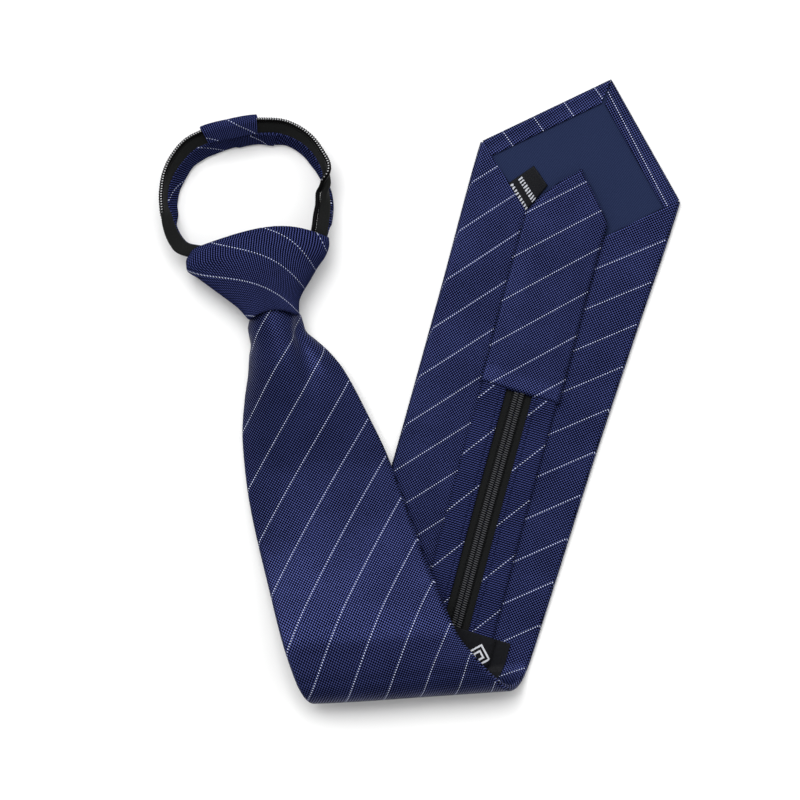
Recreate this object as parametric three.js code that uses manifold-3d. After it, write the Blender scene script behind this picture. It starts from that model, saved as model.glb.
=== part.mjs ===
// Ready-tied zipper tie of pinstriped cloth, lying folded in two on a table.
//
// Millimetres, +Z up, the table at z = 0. The origin is on the table under the middle of the far arm,
// the part of the blade that lies flat on its face.
// The blade leaves the knot as the near arm, face up, rolls under itself at the fold and comes back as
// the far arm, face down. The zipped tail lies along the blade's back the whole way.
// A point of the blade or tail is given by how far it is ACROSS the blade from its middle line, how far
// ALONG it from the knot's hem, and how DEEP under its face. The function onBlade bends all three into
// the folded shape, so the layers follow each other through the roll.

import * as THREE from 'three';
import { mergeVertices } from 'three/addons/utils/BufferGeometryUtils.js';
import Module from 'manifold-3d';

const wasm = await Module();
wasm.setup();

// Driving dimensions
const BLADE_LENGTH = 428; // from the knot's hem to the point, laid out
const BLADE_WIDTH = 81; // across the shoulders
const BLADE_POINT = 39; // from the shoulders to the point
const BLADE_THICKNESS = 3; // face, interlining and back flaps together
const BLADE_TUCK = 13; // hidden in the knot
const NEAR_ARM = 148; // from the knot's hem to the start of the roll
const FOLD_HEIGHT = 22; // the roll stands this high on the table
const CREASE_TURN = 4; // degrees from +X to the roll's axis
const HEM_WIDTH = 6; // turned-in cloth round the point
const FLAP_DEPTH = 37; // from the shoulders to where the two back flaps meet
const LINING_THICKNESS = 0.7;
const CARE_LABEL_WIDTH = 9;
const CARE_LABEL_LENGTH = 15;
const LABEL_THICKNESS = 0.5;

const TAIL_END = 38; // from the blade's point back to the tail's point
const TAIL_WIDTH = 33; // closed panel at the tail's end
const TAIL_POINT = 19; // from the panel's corners to its point
const TAIL_PANEL = 93; // length of the closed panel
const TAIL_THICKNESS = 2.8;
const STRIP_WIDTH = 10.2; // cloth strip beside the zip, in the tail and round the neck
const TAPE_WIDTH = 5; // zip tape that shows beside a strip
const TAPE_THICKNESS = 0.8;
const COIL_WIDTH = 4.4; // both halves of the closed zip coil
const COIL_THICKNESS = 1.9;
const KEEPER_LENGTH = 20; // along the blade
const KEEPER_FOOT = 6.5; // sewn to the blade on each side of the tail
const KEEPER_AT = 190.5; // middle of the keeper, from the knot's hem
const KEEPER_THICKNESS = 0.8;

const KNOT_LENGTH = 30;
const KNOT_WIDTH = 57.6;
const KNOT_DEPTH = 21.5;
const KNOT_WALL = 1.5; // wrapped cloth
const MOUTH_CUT = 0.14; // share of KNOT_LENGTH by which the mouth drops at its left corner
const ARCH_SKEW = 0.5; // how far the mouth's rise leans to the right, as a share
const KNOT_TURN = 5; // degrees from the table's +X to the knot's width

const NECK_RADIUS = 34; // from the loop's middle to its rim
const BAND_THICKNESS = 1.8;
const NECK_COIL = 2; // half of the open zip coil on each tape
const SLEEVE_LENGTH = 21;
const SLEEVE_WALL = 1.1;

const GAP = 0.3; // between pieces that lie on each other
const FLOOR_GAP = 0.5; // keeps the knot and the curled edges just off the table, so that it rests flat
const LAYER_GAP = 0.5; // between the blade and the tail, which bend round the roll together

// Sections of the blade. Along is a share of the length from the hem to the shoulders; heading is the
// middle line's direction, in degrees from square to the crease; left and right are half widths as
// shares of BLADE_WIDTH; curls are BLADE_WIDTH divided by the radius that each half is rolled to.
const BLADE_SECTIONS = [
  { along: 0.0, heading: 9.6, left: 0.183, right: 0.183, curlLeft: 9.8, curlRight: 9.8 },
  { along: 0.006, heading: 9.7, left: 0.19, right: 0.19, curlLeft: 9.2, curlRight: 9.0 },
  { along: 0.016, heading: 9.8, left: 0.236, right: 0.206, curlLeft: 6.3, curlRight: 7.4 },
  { along: 0.028, heading: 10.0, left: 0.25, right: 0.235, curlLeft: 5.7, curlRight: 5.6 },
  { along: 0.046, heading: 10.4, left: 0.27, right: 0.262, curlLeft: 5.0, curlRight: 3.4 },
  { along: 0.069, heading: 10.7, left: 0.305, right: 0.288, curlLeft: 3.6, curlRight: 1.9 },
  { along: 0.113, heading: 11.4, left: 0.345, right: 0.318, curlLeft: 1.7, curlRight: 0.9 },
  { along: 0.175, heading: 12.8, left: 0.382, right: 0.357, curlLeft: 0.75, curlRight: 0.5 },
  { along: 0.252, heading: 14.9, left: 0.411, right: 0.374, curlLeft: 0.5, curlRight: 0.3 },
  { along: 0.321, heading: 17.5, left: 0.435, right: 0.392, curlLeft: 0.25, curlRight: 0.15 },
  { along: 0.365, heading: 21.0, left: 0.438, right: 0.402, curlLeft: 0.1, curlRight: 0.1 },
  { along: 0.406, heading: 28.5, left: 0.444, right: 0.418, curlLeft: 0, curlRight: 0 },
  { along: 0.442, heading: 30.5, left: 0.451, right: 0.435, curlLeft: 0, curlRight: 0 },
  { along: 0.488, heading: 22.0, left: 0.461, right: 0.447, curlLeft: 0, curlRight: 0 },
  { along: 0.553, heading: 20.8, left: 0.472, right: 0.458, curlLeft: 0, curlRight: 0 },
  { along: 0.848, heading: 20.8, left: 0.493, right: 0.485, curlLeft: 0, curlRight: 0 },
  { along: 1.0, heading: 20.8, left: 0.502, right: 0.502, curlLeft: 0, curlRight: 0 },
];

// Height of the near arm's face above the table. Back is the distance from the crease as a share of
// NEAR_ARM, height a share of FOLD_HEIGHT: high on the roll, sagging, and up again into the knot.
const NEAR_ARM_RISE = [
  { back: 0, height: 1 },
  { back: 0.07, height: 0.965 },
  { back: 0.14, height: 0.864 },
  { back: 0.24, height: 0.68 },
  { back: 0.38, height: 0.535 },
  { back: 0.55, height: 0.475 },
  { back: 0.67, height: 0.55 },
  { back: 0.78, height: 0.68 },
  { back: 0.85, height: 0.72 },
  { back: 0.91, height: 0.725 },
  { back: 1.0, height: 0.71 },
];

// Middle and width of the tail. Along is a share of BLADE_LENGTH, aside a share of TAIL_WIDTH, and
// spread the share of its flat width that it keeps where the blade curls round it.
const TAIL_SECTIONS = [
  { along: 0.0, aside: 0, spread: 0.8 },
  { along: 0.04, aside: 0, spread: 0.86 },
  { along: 0.1, aside: 0.01, spread: 1 },
  { along: 0.23, aside: 0.05, spread: 1 },
  { along: 0.35, aside: 0.12, spread: 1 },
  { along: 0.43, aside: 0.127, spread: 1 },
  { along: 0.47, aside: 0.112, spread: 1 },
  { along: 0.58, aside: 0.067, spread: 1 },
  { along: 0.69, aside: 0.033, spread: 1 },
  { along: 0.86, aside: -0.033, spread: 1 },
  { along: 0.92, aside: -0.03, spread: 1 },
];

// Outline of the tail's closed end. Back is a share of TAIL_POINT from the point, left and right are
// shares of TAIL_WIDTH.
const TAIL_POINT_OUTLINE = [
  { back: 0, left: 0.02, right: 0.02 },
  { back: 0.3, left: 0.17, right: 0.17 },
  { back: 0.62, left: 0.31, right: 0.34 },
  { back: 0.8, left: 0.385, right: 0.43 },
  { back: 1, left: 0.44, right: 0.5 },
  { back: 1.25, left: 0.5, right: 0.5 },
];

// Rings of the knot from its hem up to its mouth. Along is a share of KNOT_LENGTH, left and right are
// shares of KNOT_WIDTH from the hem's middle, height a share of KNOT_DEPTH, arch how far the front of
// the ring rises above its sides as a share of KNOT_LENGTH, back how far its back drops below them, and
// square how boxy the ring is.
const KNOT_RINGS = [
  { along: 0.0, left: 0.179, right: 0.177, height: 0.81, arch: 0.115, back: 0, square: 3.8 },
  { along: 0.1, left: 0.208, right: 0.178, height: 0.84, arch: 0.12, back: 0, square: 3.6 },
  { along: 0.2, left: 0.25, right: 0.184, height: 0.87, arch: 0.13, back: 0, square: 3.0 },
  { along: 0.3, left: 0.307, right: 0.208, height: 0.91, arch: 0.14, back: 0, square: 2.9 },
  { along: 0.45, left: 0.395, right: 0.265, height: 0.96, arch: 0.155, back: 0.01, square: 2.8 },
  { along: 0.62, left: 0.49, right: 0.326, height: 1.0, arch: 0.18, back: 0.03, square: 2.8 },
  { along: 0.8, left: 0.573, right: 0.395, height: 0.98, arch: 0.2, back: 0.07, square: 3.6 },
  { along: 0.92, left: 0.572, right: 0.42, height: 0.93, arch: 0.215, back: 0.12, square: 4.2 },
  { along: 1.0, left: 0.548, right: 0.427, height: 0.88, arch: 0.225, back: 0.16, square: 4.6 },
];

// The two strands of the neck loop. Turn is in degrees round the loop's middle from the table's +X,
// reach the seam's distance from the middle as a share of NECK_RADIUS, tape and band the lean of each
// part from upright, in degrees, with its upper edge outwards.
const NECK_LEFT = [
  { turn: 103, reach: 0.715, tape: 53, band: 20 },
  { turn: 127, reach: 0.782, tape: 53, band: 30 },
  { turn: 140, reach: 0.84, tape: 49, band: 35 },
  { turn: 153, reach: 0.876, tape: 43, band: 31 },
  { turn: 166, reach: 0.925, tape: 30, band: 35 },
  { turn: 177, reach: 0.953, tape: 21, band: 31 },
  { turn: 187, reach: 0.962, tape: 20, band: 25 },
  { turn: 196, reach: 0.94, tape: 37, band: 11 },
  { turn: 205, reach: 0.94, tape: 48, band: -8 },
  { turn: 216, reach: 0.925, tape: 62, band: -26 },
];
const NECK_RIGHT = [
  { turn: 103, reach: 0.715, tape: 53, band: 20 },
  { turn: 80, reach: 0.753, tape: 53, band: 20 },
  { turn: 65, reach: 0.815, tape: 52, band: 27 },
  { turn: 53, reach: 0.857, tape: 46, band: 20 },
  { turn: 41, reach: 0.892, tape: 38, band: 19 },
  { turn: 30, reach: 0.912, tape: 30, band: 18 },
  { turn: 20, reach: 0.918, tape: 24, band: 13 },
  { turn: 14, reach: 0.918, tape: 12, band: 8 },
  { turn: 8, reach: 0.948, tape: -24, band: -3 },
  { turn: 1, reach: 0.966, tape: -42, band: -7 },
  { turn: -8, reach: 0.982, tape: -60, band: -8 },
  { turn: -18, reach: 1.0, tape: -72, band: -6 },
];

// Where the strands pass the knot's mouth and where they end inside it. Across is a share of
// KNOT_WIDTH from the hem's middle and up a share of KNOT_LENGTH; tape and band are leans.
const NECK_LEFT_END = [
  { across: -0.44, up: 1.02, tape: 88, band: -34 },
  { across: -0.375, up: 0.88, tape: 96, band: -34 },
];
const NECK_RIGHT_END = [
  { across: 0.38, up: 1.02, tape: -76, band: 16 },
  { across: 0.31, up: 0.76, tape: -74, band: 34 },
];
const NECK_CENTRE_ASIDE = -0.21; // share of NECK_RADIUS, across the knot
const NECK_CENTRE_ABOVE = 0.59; // share of NECK_RADIUS, above the knot's mouth
const SLEEVE_TURN = 105; // degrees, middle of the sleeve
const SLIDER = { length: 10, width: 9, thickness: 4.6 };

const BODY_LENGTH = BLADE_LENGTH - BLADE_POINT;
const RADIANS = Math.PI / 180;

// Monotone cubic curve through one column of a table, level beyond its ends.
function curve(table, key, column) {
  const rows = [...table].sort((p, q) => p[key] - q[key]);
  const x = rows.map((row) => row[key]);
  const y = rows.map((row) => row[column]);
  const step = x.slice(1).map((value, i) => value - x[i]);
  const rate = step.map((width, i) => (y[i + 1] - y[i]) / width);
  const slope = y.map((_, i) => {
    if (i === 0 || i === y.length - 1 || rate[i - 1] * rate[i] <= 0) return 0;
    const before = 2 * step[i] + step[i - 1];
    const after = step[i] + 2 * step[i - 1];
    return (before + after) / (before / rate[i - 1] + after / rate[i]);
  });
  return (at) => {
    if (at <= x[0]) return y[0];
    if (at >= x[x.length - 1]) return y[y.length - 1];
    const i = x.findIndex((value, n) => n > 0 && at <= value) - 1;
    const t = (at - x[i]) / step[i];
    const rise = (1 - t) * (1 - t);
    return (1 + 2 * t) * rise * y[i] + t * rise * step[i] * slope[i]
      + t * t * (3 - 2 * t) * y[i + 1] + t * t * (t - 1) * step[i] * slope[i + 1];
  };
}

const heading = curve(BLADE_SECTIONS, 'along', 'heading');
const bladeLeft = curve(BLADE_SECTIONS, 'along', 'left');
const bladeRight = curve(BLADE_SECTIONS, 'along', 'right');
const curlLeft = curve(BLADE_SECTIONS, 'along', 'curlLeft');
const curlRight = curve(BLADE_SECTIONS, 'along', 'curlRight');
const armRise = curve(NEAR_ARM_RISE, 'back', 'height');
const tailAside = curve(TAIL_SECTIONS, 'along', 'aside');
const tailSpread = curve(TAIL_SECTIONS, 'along', 'spread');

// The blade's middle line laid out flat: a is measured along the crease and b square to it, with b = 0
// where the roll starts. It is summed in short steps from the headings.
const LINE_STEP = 0.5;
const middleLine = [];
for (let v = -BLADE_TUCK - SLIDER.length, a = 0, b = 0; v <= BLADE_LENGTH + LINE_STEP; v += LINE_STEP) {
  middleLine.push({ v, a, b });
  const angle = heading((v + LINE_STEP / 2) / BODY_LENGTH) * RADIANS;
  a += LINE_STEP * Math.sin(angle);
  b += LINE_STEP * Math.cos(angle);
}
function rawMiddle(v) {
  const n = (v - middleLine[0].v) / LINE_STEP;
  const i = Math.min(Math.max(Math.floor(n), 0), middleLine.length - 2);
  const t = n - i;
  const [p, q] = [middleLine[i], middleLine[i + 1]];
  return { a: p.a + (q.a - p.a) * t, b: p.b + (q.b - p.b) * t };
}

const FOLD_RADIUS = (FOLD_HEIGHT - BLADE_THICKNESS) / 2; // of the blade's middle layer
const FOLD_ARC = Math.PI * FOLD_RADIUS;
const foldStart = rawMiddle(NEAR_ARM);
const crease = new THREE.Vector2(Math.cos(CREASE_TURN * RADIANS), Math.sin(CREASE_TURN * RADIANS));
const forward = new THREE.Vector2(crease.y, -crease.x); // towards the fold

// Bends the flat layout: level on the near arm, half a turn round the roll, level on the table.
function bend(a, b, deep) {
  const turn = b / FOLD_RADIUS;
  const radius = FOLD_HEIGHT / 2 - deep;
  let out = b;
  let z = FOLD_HEIGHT * armRise(-b / NEAR_ARM) - deep;
  if (b > 0 && b < FOLD_ARC) {
    out = radius * Math.sin(turn);
    z = FOLD_HEIGHT / 2 + radius * Math.cos(turn);
  } else if (b >= FOLD_ARC) {
    out = FOLD_ARC - b;
    z = deep;
  }
  return new THREE.Vector3(a * crease.x + out * forward.x, a * crease.y + out * forward.y, z);
}

function onBladeRaw(across, along, deep) {
  const share = along / BODY_LENGTH;
  const curl = Math.max(across < 0 ? curlLeft(share) : curlRight(share), 0.001) / BLADE_WIDTH;
  const aside = (1 / curl - deep) * Math.sin(curl * across);
  const down = 1 / curl - (1 / curl - deep) * Math.cos(curl * across);
  const angle = heading(share) * RADIANS;
  const middle = rawMiddle(along);
  return bend(
    middle.a - foldStart.a + aside * Math.cos(angle),
    middle.b - foldStart.b - aside * Math.sin(angle),
    down,
  );
}

const FAR_ARM_START = NEAR_ARM + FOLD_ARC / Math.cos(heading(0.42) * RADIANS);
const REST_AT = (FAR_ARM_START + BODY_LENGTH) / 2;
const origin = onBladeRaw(0, REST_AT, 0);

function onBlade(across, along, deep) {
  return onBladeRaw(across, along, deep).sub(origin);
}

// Closed solid from rings of points. Each ring holds the same number of points, in order round it;
// shape gives the ring's outline in two dimensions, for its end caps.
function loft(rings, shape) {
  const count = rings[0].length;
  const points = rings.flat();
  const faces = [];
  for (let r = 0; r + 1 < rings.length; r += 1) {
    for (let i = 0; i < count; i += 1) {
      const a = r * count + i;
      const b = r * count + ((i + 1) % count);
      faces.push([a, b, b + count], [a, b + count, a + count]);
    }
  }
  const outline = shape.map(([x, y]) => new THREE.Vector2(x, y));
  const clockwise = THREE.ShapeUtils.isClockWise(outline);
  const last = (rings.length - 1) * count;
  for (const [a, b, c] of THREE.ShapeUtils.triangulateShape(outline, [])) {
    if (clockwise) faces.push([a, b, c], [last + a, last + c, last + b]);
    else faces.push([a, c, b], [last + a, last + b, last + c]);
  }
  return solidGeometry(points, faces);
}

// Closed wall from rings that run round a hollow: rows go down the outside and back up the inside.
function wall(rows) {
  const count = rows[0].length;
  const faces = [];
  rows.forEach((_, r) => {
    const next = (r + 1) % rows.length;
    for (let i = 0; i < count; i += 1) {
      const j = (i + 1) % count;
      const [a, b, c, d] = [r * count + i, r * count + j, next * count + j, next * count + i];
      faces.push([a, b, c], [a, c, d]);
    }
  });
  return solidGeometry(rows.flat(), faces);
}

// Indexed geometry with its faces turned outwards, whichever way the rings ran.
function solidGeometry(points, faces) {
  let volume = 0;
  const cross = new THREE.Vector3();
  for (const [a, b, c] of faces) volume += points[a].dot(cross.crossVectors(points[b], points[c]));
  const turned = volume < 0 ? faces.map(([a, b, c]) => [a, c, b]) : faces;
  const geometry = new THREE.BufferGeometry().setFromPoints(points);
  geometry.setIndex(turned.flat());
  geometry.computeVertexNormals();
  return geometry;
}

// Evenly spaced stations between rows of stops, each stop being [position, step up to the next one].
function stations(stops) {
  const list = [];
  for (let i = 0; i + 1 < stops.length; i += 1) {
    const [from, step] = stops[i];
    const parts = Math.max(1, Math.round((stops[i + 1][0] - from) / step));
    for (let n = 0; n < parts; n += 1) list.push(from + ((stops[i + 1][0] - from) * n) / parts);
  }
  list.push(stops[stops.length - 1][0]);
  return list;
}

const THROAT_END = NEAR_ARM * 0.4; // the blade is rolled up to here
const ROLL_REACH = BLADE_WIDTH * 0.27; // the slanting crease crosses the blade this far each way
const rollFrom = NEAR_ARM - ROLL_REACH;
const rollTo = FAR_ARM_START + ROLL_REACH;

// A strip on the blade between two curves across, from one depth to another.
function stripOnBlade(alongs, left, right, top, bottom, columns) {
  const shape = [];
  for (let i = 0; i <= columns; i += 1) shape.push([i / columns, 0]);
  for (let i = columns; i >= 0; i -= 1) shape.push([i / columns, 1]);
  const rings = alongs.map((v) => shape.map(([x, y]) => (
    onBlade(left(v) + (right(v) - left(v)) * x, v, top + (bottom - top) * y))));
  return loft(rings, shape);
}

function toManifold(geometry) {
  const bare = geometry.clone();
  bare.deleteAttribute('normal');
  bare.deleteAttribute('uv');
  const merged = mergeVertices(bare, 1e-4);
  const mesh = new wasm.Mesh({
    numProp: 3,
    vertProperties: new Float32Array(merged.attributes.position.array),
    triVerts: new Uint32Array(merged.index.array),
  });
  return new wasm.Manifold(mesh);
}

function fromManifold(solid) {
  const mesh = solid.getMesh();
  const geometry = new THREE.BufferGeometry();
  geometry.setAttribute('position', new THREE.BufferAttribute(mesh.vertProperties, 3));
  geometry.setIndex(new THREE.BufferAttribute(mesh.triVerts, 1));
  geometry.computeVertexNormals();
  return geometry;
}

// A flat plate on the far arm: corners are [across, along] on the blade.
function plate(corners, low, high) {
  const shape = new THREE.Shape(corners.map(([across, along]) => {
    const point = onBlade(across, along, 0);
    return new THREE.Vector2(point.x, point.y);
  }));
  const geometry = new THREE.ExtrudeGeometry(shape, { depth: high - low, bevelEnabled: false });
  return geometry.translate(0, 0, low);
}

// Where the lines p to q and r to s cross, in the plane of the blade.
function crossing(p, q, r, s) {
  const [dx, dy, ex, ey] = [q[0] - p[0], q[1] - p[1], s[0] - r[0], s[1] - r[1]];
  const t = ((r[0] - p[0]) * ey - (r[1] - p[1]) * ex) / (dx * ey - dy * ex);
  return [p[0] + dx * t, p[1] + dy * t];
}

// The kite between the hems of the point and the slanting ends of the back flaps, drawn in by inset.
function liningKite(inset) {
  const half = BLADE_WIDTH / 2;
  const edge = Math.hypot(half, BLADE_POINT);
  const down = ((HEM_WIDTH + inset) * edge) / half;
  const flap = Math.hypot(half, FLAP_DEPTH);
  const up = (inset * flap) / half;
  const top = [0, BLADE_LENGTH - down];
  const bottom = [0, BODY_LENGTH - FLAP_DEPTH + up];
  const corner = (side) => crossing(
    top, [side * half, BODY_LENGTH - down], bottom, [side * half, BODY_LENGTH + up]);
  return [top, corner(1), bottom, corner(-1)];
}

const RECESS_FLOOR = BLADE_THICKNESS - 2 * GAP - LINING_THICKNESS - LABEL_THICKNESS - GAP / 3;
const liningTop = RECESS_FLOOR + GAP + LINING_THICKNESS;

function bladeGeometry() {
  const alongs = stations([
    [-BLADE_TUCK, 4.5], [THROAT_END, 14], [rollFrom, 4.2], [rollTo, 36], [BODY_LENGTH, BLADE_POINT],
    [BLADE_LENGTH],
  ]);
  const taper = (v) => Math.min(1, Math.max(0.012, (BLADE_LENGTH - v) / BLADE_POINT));
  const solid = stripOnBlade(
    alongs,
    (v) => -BLADE_WIDTH * bladeLeft(v / BODY_LENGTH) * taper(v),
    (v) => BLADE_WIDTH * bladeRight(v / BODY_LENGTH) * taper(v),
    0, BLADE_THICKNESS, 12,
  );
  const recess = toManifold(plate(liningKite(0), RECESS_FLOOR, BLADE_THICKNESS * 2));
  return fromManifold(toManifold(solid).subtract(recess));
}

function liningGeometry() {
  return plate(liningKite(GAP), RECESS_FLOOR + GAP, liningTop);
}

// The care label's top edge is sewn under the left flap, so it lies slanting beside that flap.
function careLabelGeometry() {
  const kite = liningKite(2 * GAP);
  const [bottom, left] = [new THREE.Vector2(...kite[2]), new THREE.Vector2(...kite[3])];
  const slope = bottom.clone().sub(left).normalize();
  const inwards = new THREE.Vector2(-slope.y, slope.x);
  const start = left.clone().addScaledVector(slope, BLADE_WIDTH * 0.14);
  const corner = (u, v) => start.clone().addScaledVector(slope, u).addScaledVector(inwards, v).toArray();
  const corners = [
    corner(0, 0), corner(CARE_LABEL_LENGTH, 0), corner(CARE_LABEL_LENGTH, CARE_LABEL_WIDTH),
    corner(0, CARE_LABEL_WIDTH),
  ];
  return plate(corners, liningTop + GAP, liningTop + GAP + LABEL_THICKNESS);
}

const TAIL_TOP = BLADE_THICKNESS + LAYER_GAP; // depth of the tail's upper side
const TAIL_TIP = BLADE_LENGTH - TAIL_END;
const TAIL_SEAM = TAIL_TIP - TAIL_PANEL;
const tailMiddle = (v) => TAIL_WIDTH * tailAside(v / BLADE_LENGTH);
const tailScale = (v) => tailSpread(v / BLADE_LENGTH);
const zippedStations = stations([
  [-BLADE_TUCK, 4.5], [THROAT_END, 14], [rollFrom, 4.2], [rollTo, 30], [TAIL_SEAM - GAP],
]);

function onTail(from, to, thickness, columns) {
  const edge = (distance) => (v) => tailMiddle(v) + distance * tailScale(v);
  return stripOnBlade(zippedStations, edge(from), edge(to), TAIL_TOP, TAIL_TOP + thickness, columns);
}

function tailPanelGeometry() {
  const left = curve(TAIL_POINT_OUTLINE, 'back', 'left');
  const right = curve(TAIL_POINT_OUTLINE, 'back', 'right');
  const alongs = [
    TAIL_SEAM, TAIL_SEAM + TAIL_PANEL / 2,
    ...TAIL_POINT_OUTLINE.map((row) => TAIL_TIP - row.back * TAIL_POINT).reverse(),
  ];
  return stripOnBlade(
    alongs,
    (v) => tailMiddle(v) - TAIL_WIDTH * left((TAIL_TIP - v) / TAIL_POINT),
    (v) => tailMiddle(v) + TAIL_WIDTH * right((TAIL_TIP - v) / TAIL_POINT),
    TAIL_TOP, TAIL_TOP + TAIL_THICKNESS + GAP, 4,
  );
}

const COIL_TOP = TAPE_THICKNESS + GAP;

// The same outline with its long sides cut up, so that it can follow the roll.
function divided(outline, longest) {
  return outline.flatMap(([x, y], i) => {
    const [nextX, nextY] = outline[(i + 1) % outline.length];
    const parts = Math.ceil(Math.hypot(nextX - x, nextY - y) / longest);
    return Array.from({ length: parts }, (_, n) => [
      x + ((nextX - x) * n) / parts, y + ((nextY - y) * n) / parts,
    ]);
  });
}

// Satin band over the tail: feet on the blade, sides up past the strips, and a flat back.
function keeperGeometry() {
  const foot = BLADE_THICKNESS + LAYER_GAP;
  const back = TAIL_TOP + Math.max(TAIL_THICKNESS, COIL_TOP + COIL_THICKNESS) + GAP;
  const side = TAPE_WIDTH + GAP + STRIP_WIDTH + 2 * GAP;
  const out = side + KEEPER_THICKNESS;
  const toe = out + KEEPER_FOOT;
  const corners = [
    [-toe, foot], [-side, foot], [-side, back], [side, back], [side, foot], [toe, foot],
    [toe, foot + KEEPER_THICKNESS], [out, foot + KEEPER_THICKNESS], [out, back + KEEPER_THICKNESS],
    [-out, back + KEEPER_THICKNESS], [-out, foot + KEEPER_THICKNESS], [-toe, foot + KEEPER_THICKNESS],
  ];
  const outline = divided(corners, 5.5);
  const alongs = stations([[KEEPER_AT - KEEPER_LENGTH / 2, 3.4], [KEEPER_AT + KEEPER_LENGTH / 2]]);
  const rings = alongs.map((v) => outline.map(([x, deep]) => onBlade(tailMiddle(v) + x, v, deep)));
  return loft(rings, outline);
}

const hem = onBlade(0, 0, 0);
const knotAcross = new THREE.Vector3(Math.cos(KNOT_TURN * RADIANS), Math.sin(KNOT_TURN * RADIANS), 0);
const knotUp = new THREE.Vector3(-knotAcross.y, knotAcross.x, 0);

function inKnot(across, up, z) {
  return new THREE.Vector3(hem.x, hem.y, 0)
    .addScaledVector(knotAcross, across).addScaledVector(knotUp, up).setZ(z);
}

const KNOT_SIDES = 28;
const knotColumns = ['left', 'right', 'height', 'arch', 'back', 'square'];
const knotCurves = Object.fromEntries(knotColumns.map((name) => [name, curve(KNOT_RINGS, 'along', name)]));

// One ring of the knot, drawn in by inset from its outside.
function knotRing(share, inset) {
  const [left, right, height, arch, back, square] = knotColumns.map((name) => knotCurves[name](share));
  const middle = (KNOT_WIDTH * (right - left)) / 2;
  const halfWidth = (KNOT_WIDTH * (right + left)) / 2 - inset;
  const halfHeight = (KNOT_DEPTH * height) / 2;
  return Array.from({ length: KNOT_SIDES }, (_, i) => {
    const angle = (2 * Math.PI * (i + 0.5)) / KNOT_SIDES;
    const [c, s] = [Math.cos(angle), Math.sin(angle)];
    const x = Math.sign(c) * Math.abs(c) ** (2 / square);
    const y = Math.sign(s) * Math.abs(s) ** (2 / square);
    const cut = x < 0 ? MOUTH_CUT * x ** 8 * share ** 6 : 0;
    const front = Math.max(0, y) * (1 - x * x) * (1 + ARCH_SKEW * share * x);
    const rise = front * arch - ((1 - y) / 2) * back - cut;
    return inKnot(
      middle + halfWidth * x,
      KNOT_LENGTH * (share + rise),
      FLOOR_GAP + halfHeight + (halfHeight - inset) * y,
    );
  });
}

function knotGeometry() {
  const shares = KNOT_RINGS.map((row) => row.along);
  const outside = shares.map((share) => knotRing(share, 0));
  const inside = [...shares].reverse().map((share) => knotRing(share, KNOT_WALL));
  return wall([...outside, ...inside]);
}

// Plain slider where the zip halves part, hidden in the knot just past the blade's end.
function sliderGeometry() {
  const start = onBlade(0, -BLADE_TUCK, TAIL_TOP + COIL_TOP + COIL_THICKNESS / 2);
  const outline = [[-0.32, 0], [0.32, 0], [0.5, 0.55], [0.3, 1], [-0.3, 1], [-0.5, 0.55]];
  const shape = new THREE.Shape(outline.map(([x, y]) => (
    new THREE.Vector2(x * SLIDER.width, y * SLIDER.length))));
  const geometry = new THREE.ExtrudeGeometry(shape, { depth: SLIDER.thickness, bevelEnabled: false });
  geometry.rotateZ((heading(0) + CREASE_TURN) * RADIANS);
  const along = onBlade(0, -BLADE_TUCK - 2 * GAP, TAIL_TOP + COIL_TOP);
  return geometry.translate(along.x, along.y, start.z - SLIDER.thickness / 2);
}

const neckCentre = inKnot(
  NECK_RADIUS * NECK_CENTRE_ASIDE, KNOT_LENGTH + NECK_RADIUS * NECK_CENTRE_ABOVE, 0);

// The loop's rows with those inside the knot added, in turns round the loop's middle.
function strandTable(loop, ends) {
  const inside = ends.map((row) => {
    const spot = inKnot(KNOT_WIDTH * row.across, KNOT_LENGTH * row.up, 0).sub(neckCentre);
    const turn = Math.atan2(spot.y, spot.x) / RADIANS;
    return {
      turn: row.across < 0 ? turn + 360 : turn,
      reach: Math.hypot(spot.x, spot.y) / NECK_RADIUS,
      tape: row.tape,
      band: row.band,
    };
  });
  return [...loop, ...inside];
}

function strand(loop, ends) {
  const table = strandTable(loop, ends);
  const [reach, tape, band] = ['reach', 'tape', 'band'].map((name) => curve(table, 'turn', name));
  const [first, mouth, last] = [table[0], table[table.length - 2], table[table.length - 1]];
  const halfGap = (Math.sign(last.turn - first.turn) * GAP) / (NECK_RADIUS * first.reach) / RADIANS;
  return { reach, tape, band, from: first.turn + halfGap, to: last.turn, mouth: mouth.turn };
}

const ENTRY_LIFT = KNOT_WALL + 1.9; // clears the knot's lower wall
const ENTRY_TURN = 26; // degrees over which the strand is lifted

// Place in a strand's cross section: up is along the tape if above the seam, else along the band, and
// side is out from its middle surface.
function onStrand(part, turn, piece, up, side) {
  const angle = turn * RADIANS;
  const out = new THREE.Vector3(Math.cos(angle), Math.sin(angle), 0);
  const nearKnot = Math.max(0, 1 - Math.abs(turn - part.mouth) / ENTRY_TURN);
  const past = (turn - part.mouth) * Math.sign(part.to - part.from) > 0;
  const lift = ENTRY_LIFT * (past ? 1 : nearKnot * nearKnot * (3 - 2 * nearKnot));
  const bandLean = part.band(turn) * RADIANS;
  const lean = piece === 'tape' ? part.tape(turn) * RADIANS : bandLean;
  const foot = FLOOR_GAP + (BAND_THICKNESS / 2) * Math.abs(Math.sin(bandLean));
  const seam = foot + (GAP + STRIP_WIDTH) * Math.cos(bandLean) + lift;
  return neckCentre.clone()
    .addScaledVector(out, NECK_RADIUS * part.reach(turn) + up * Math.sin(lean) + side * Math.cos(lean))
    .setZ(seam + up * Math.cos(lean) - side * Math.sin(lean));
}

const STRAND_STEP = 7; // degrees

function strandStations(part, from = part.from, to = part.to) {
  const parts = Math.ceil(Math.abs(to - from) / STRAND_STEP);
  return Array.from({ length: parts + 1 }, (_, i) => from + ((to - from) * i) / parts);
}

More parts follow.
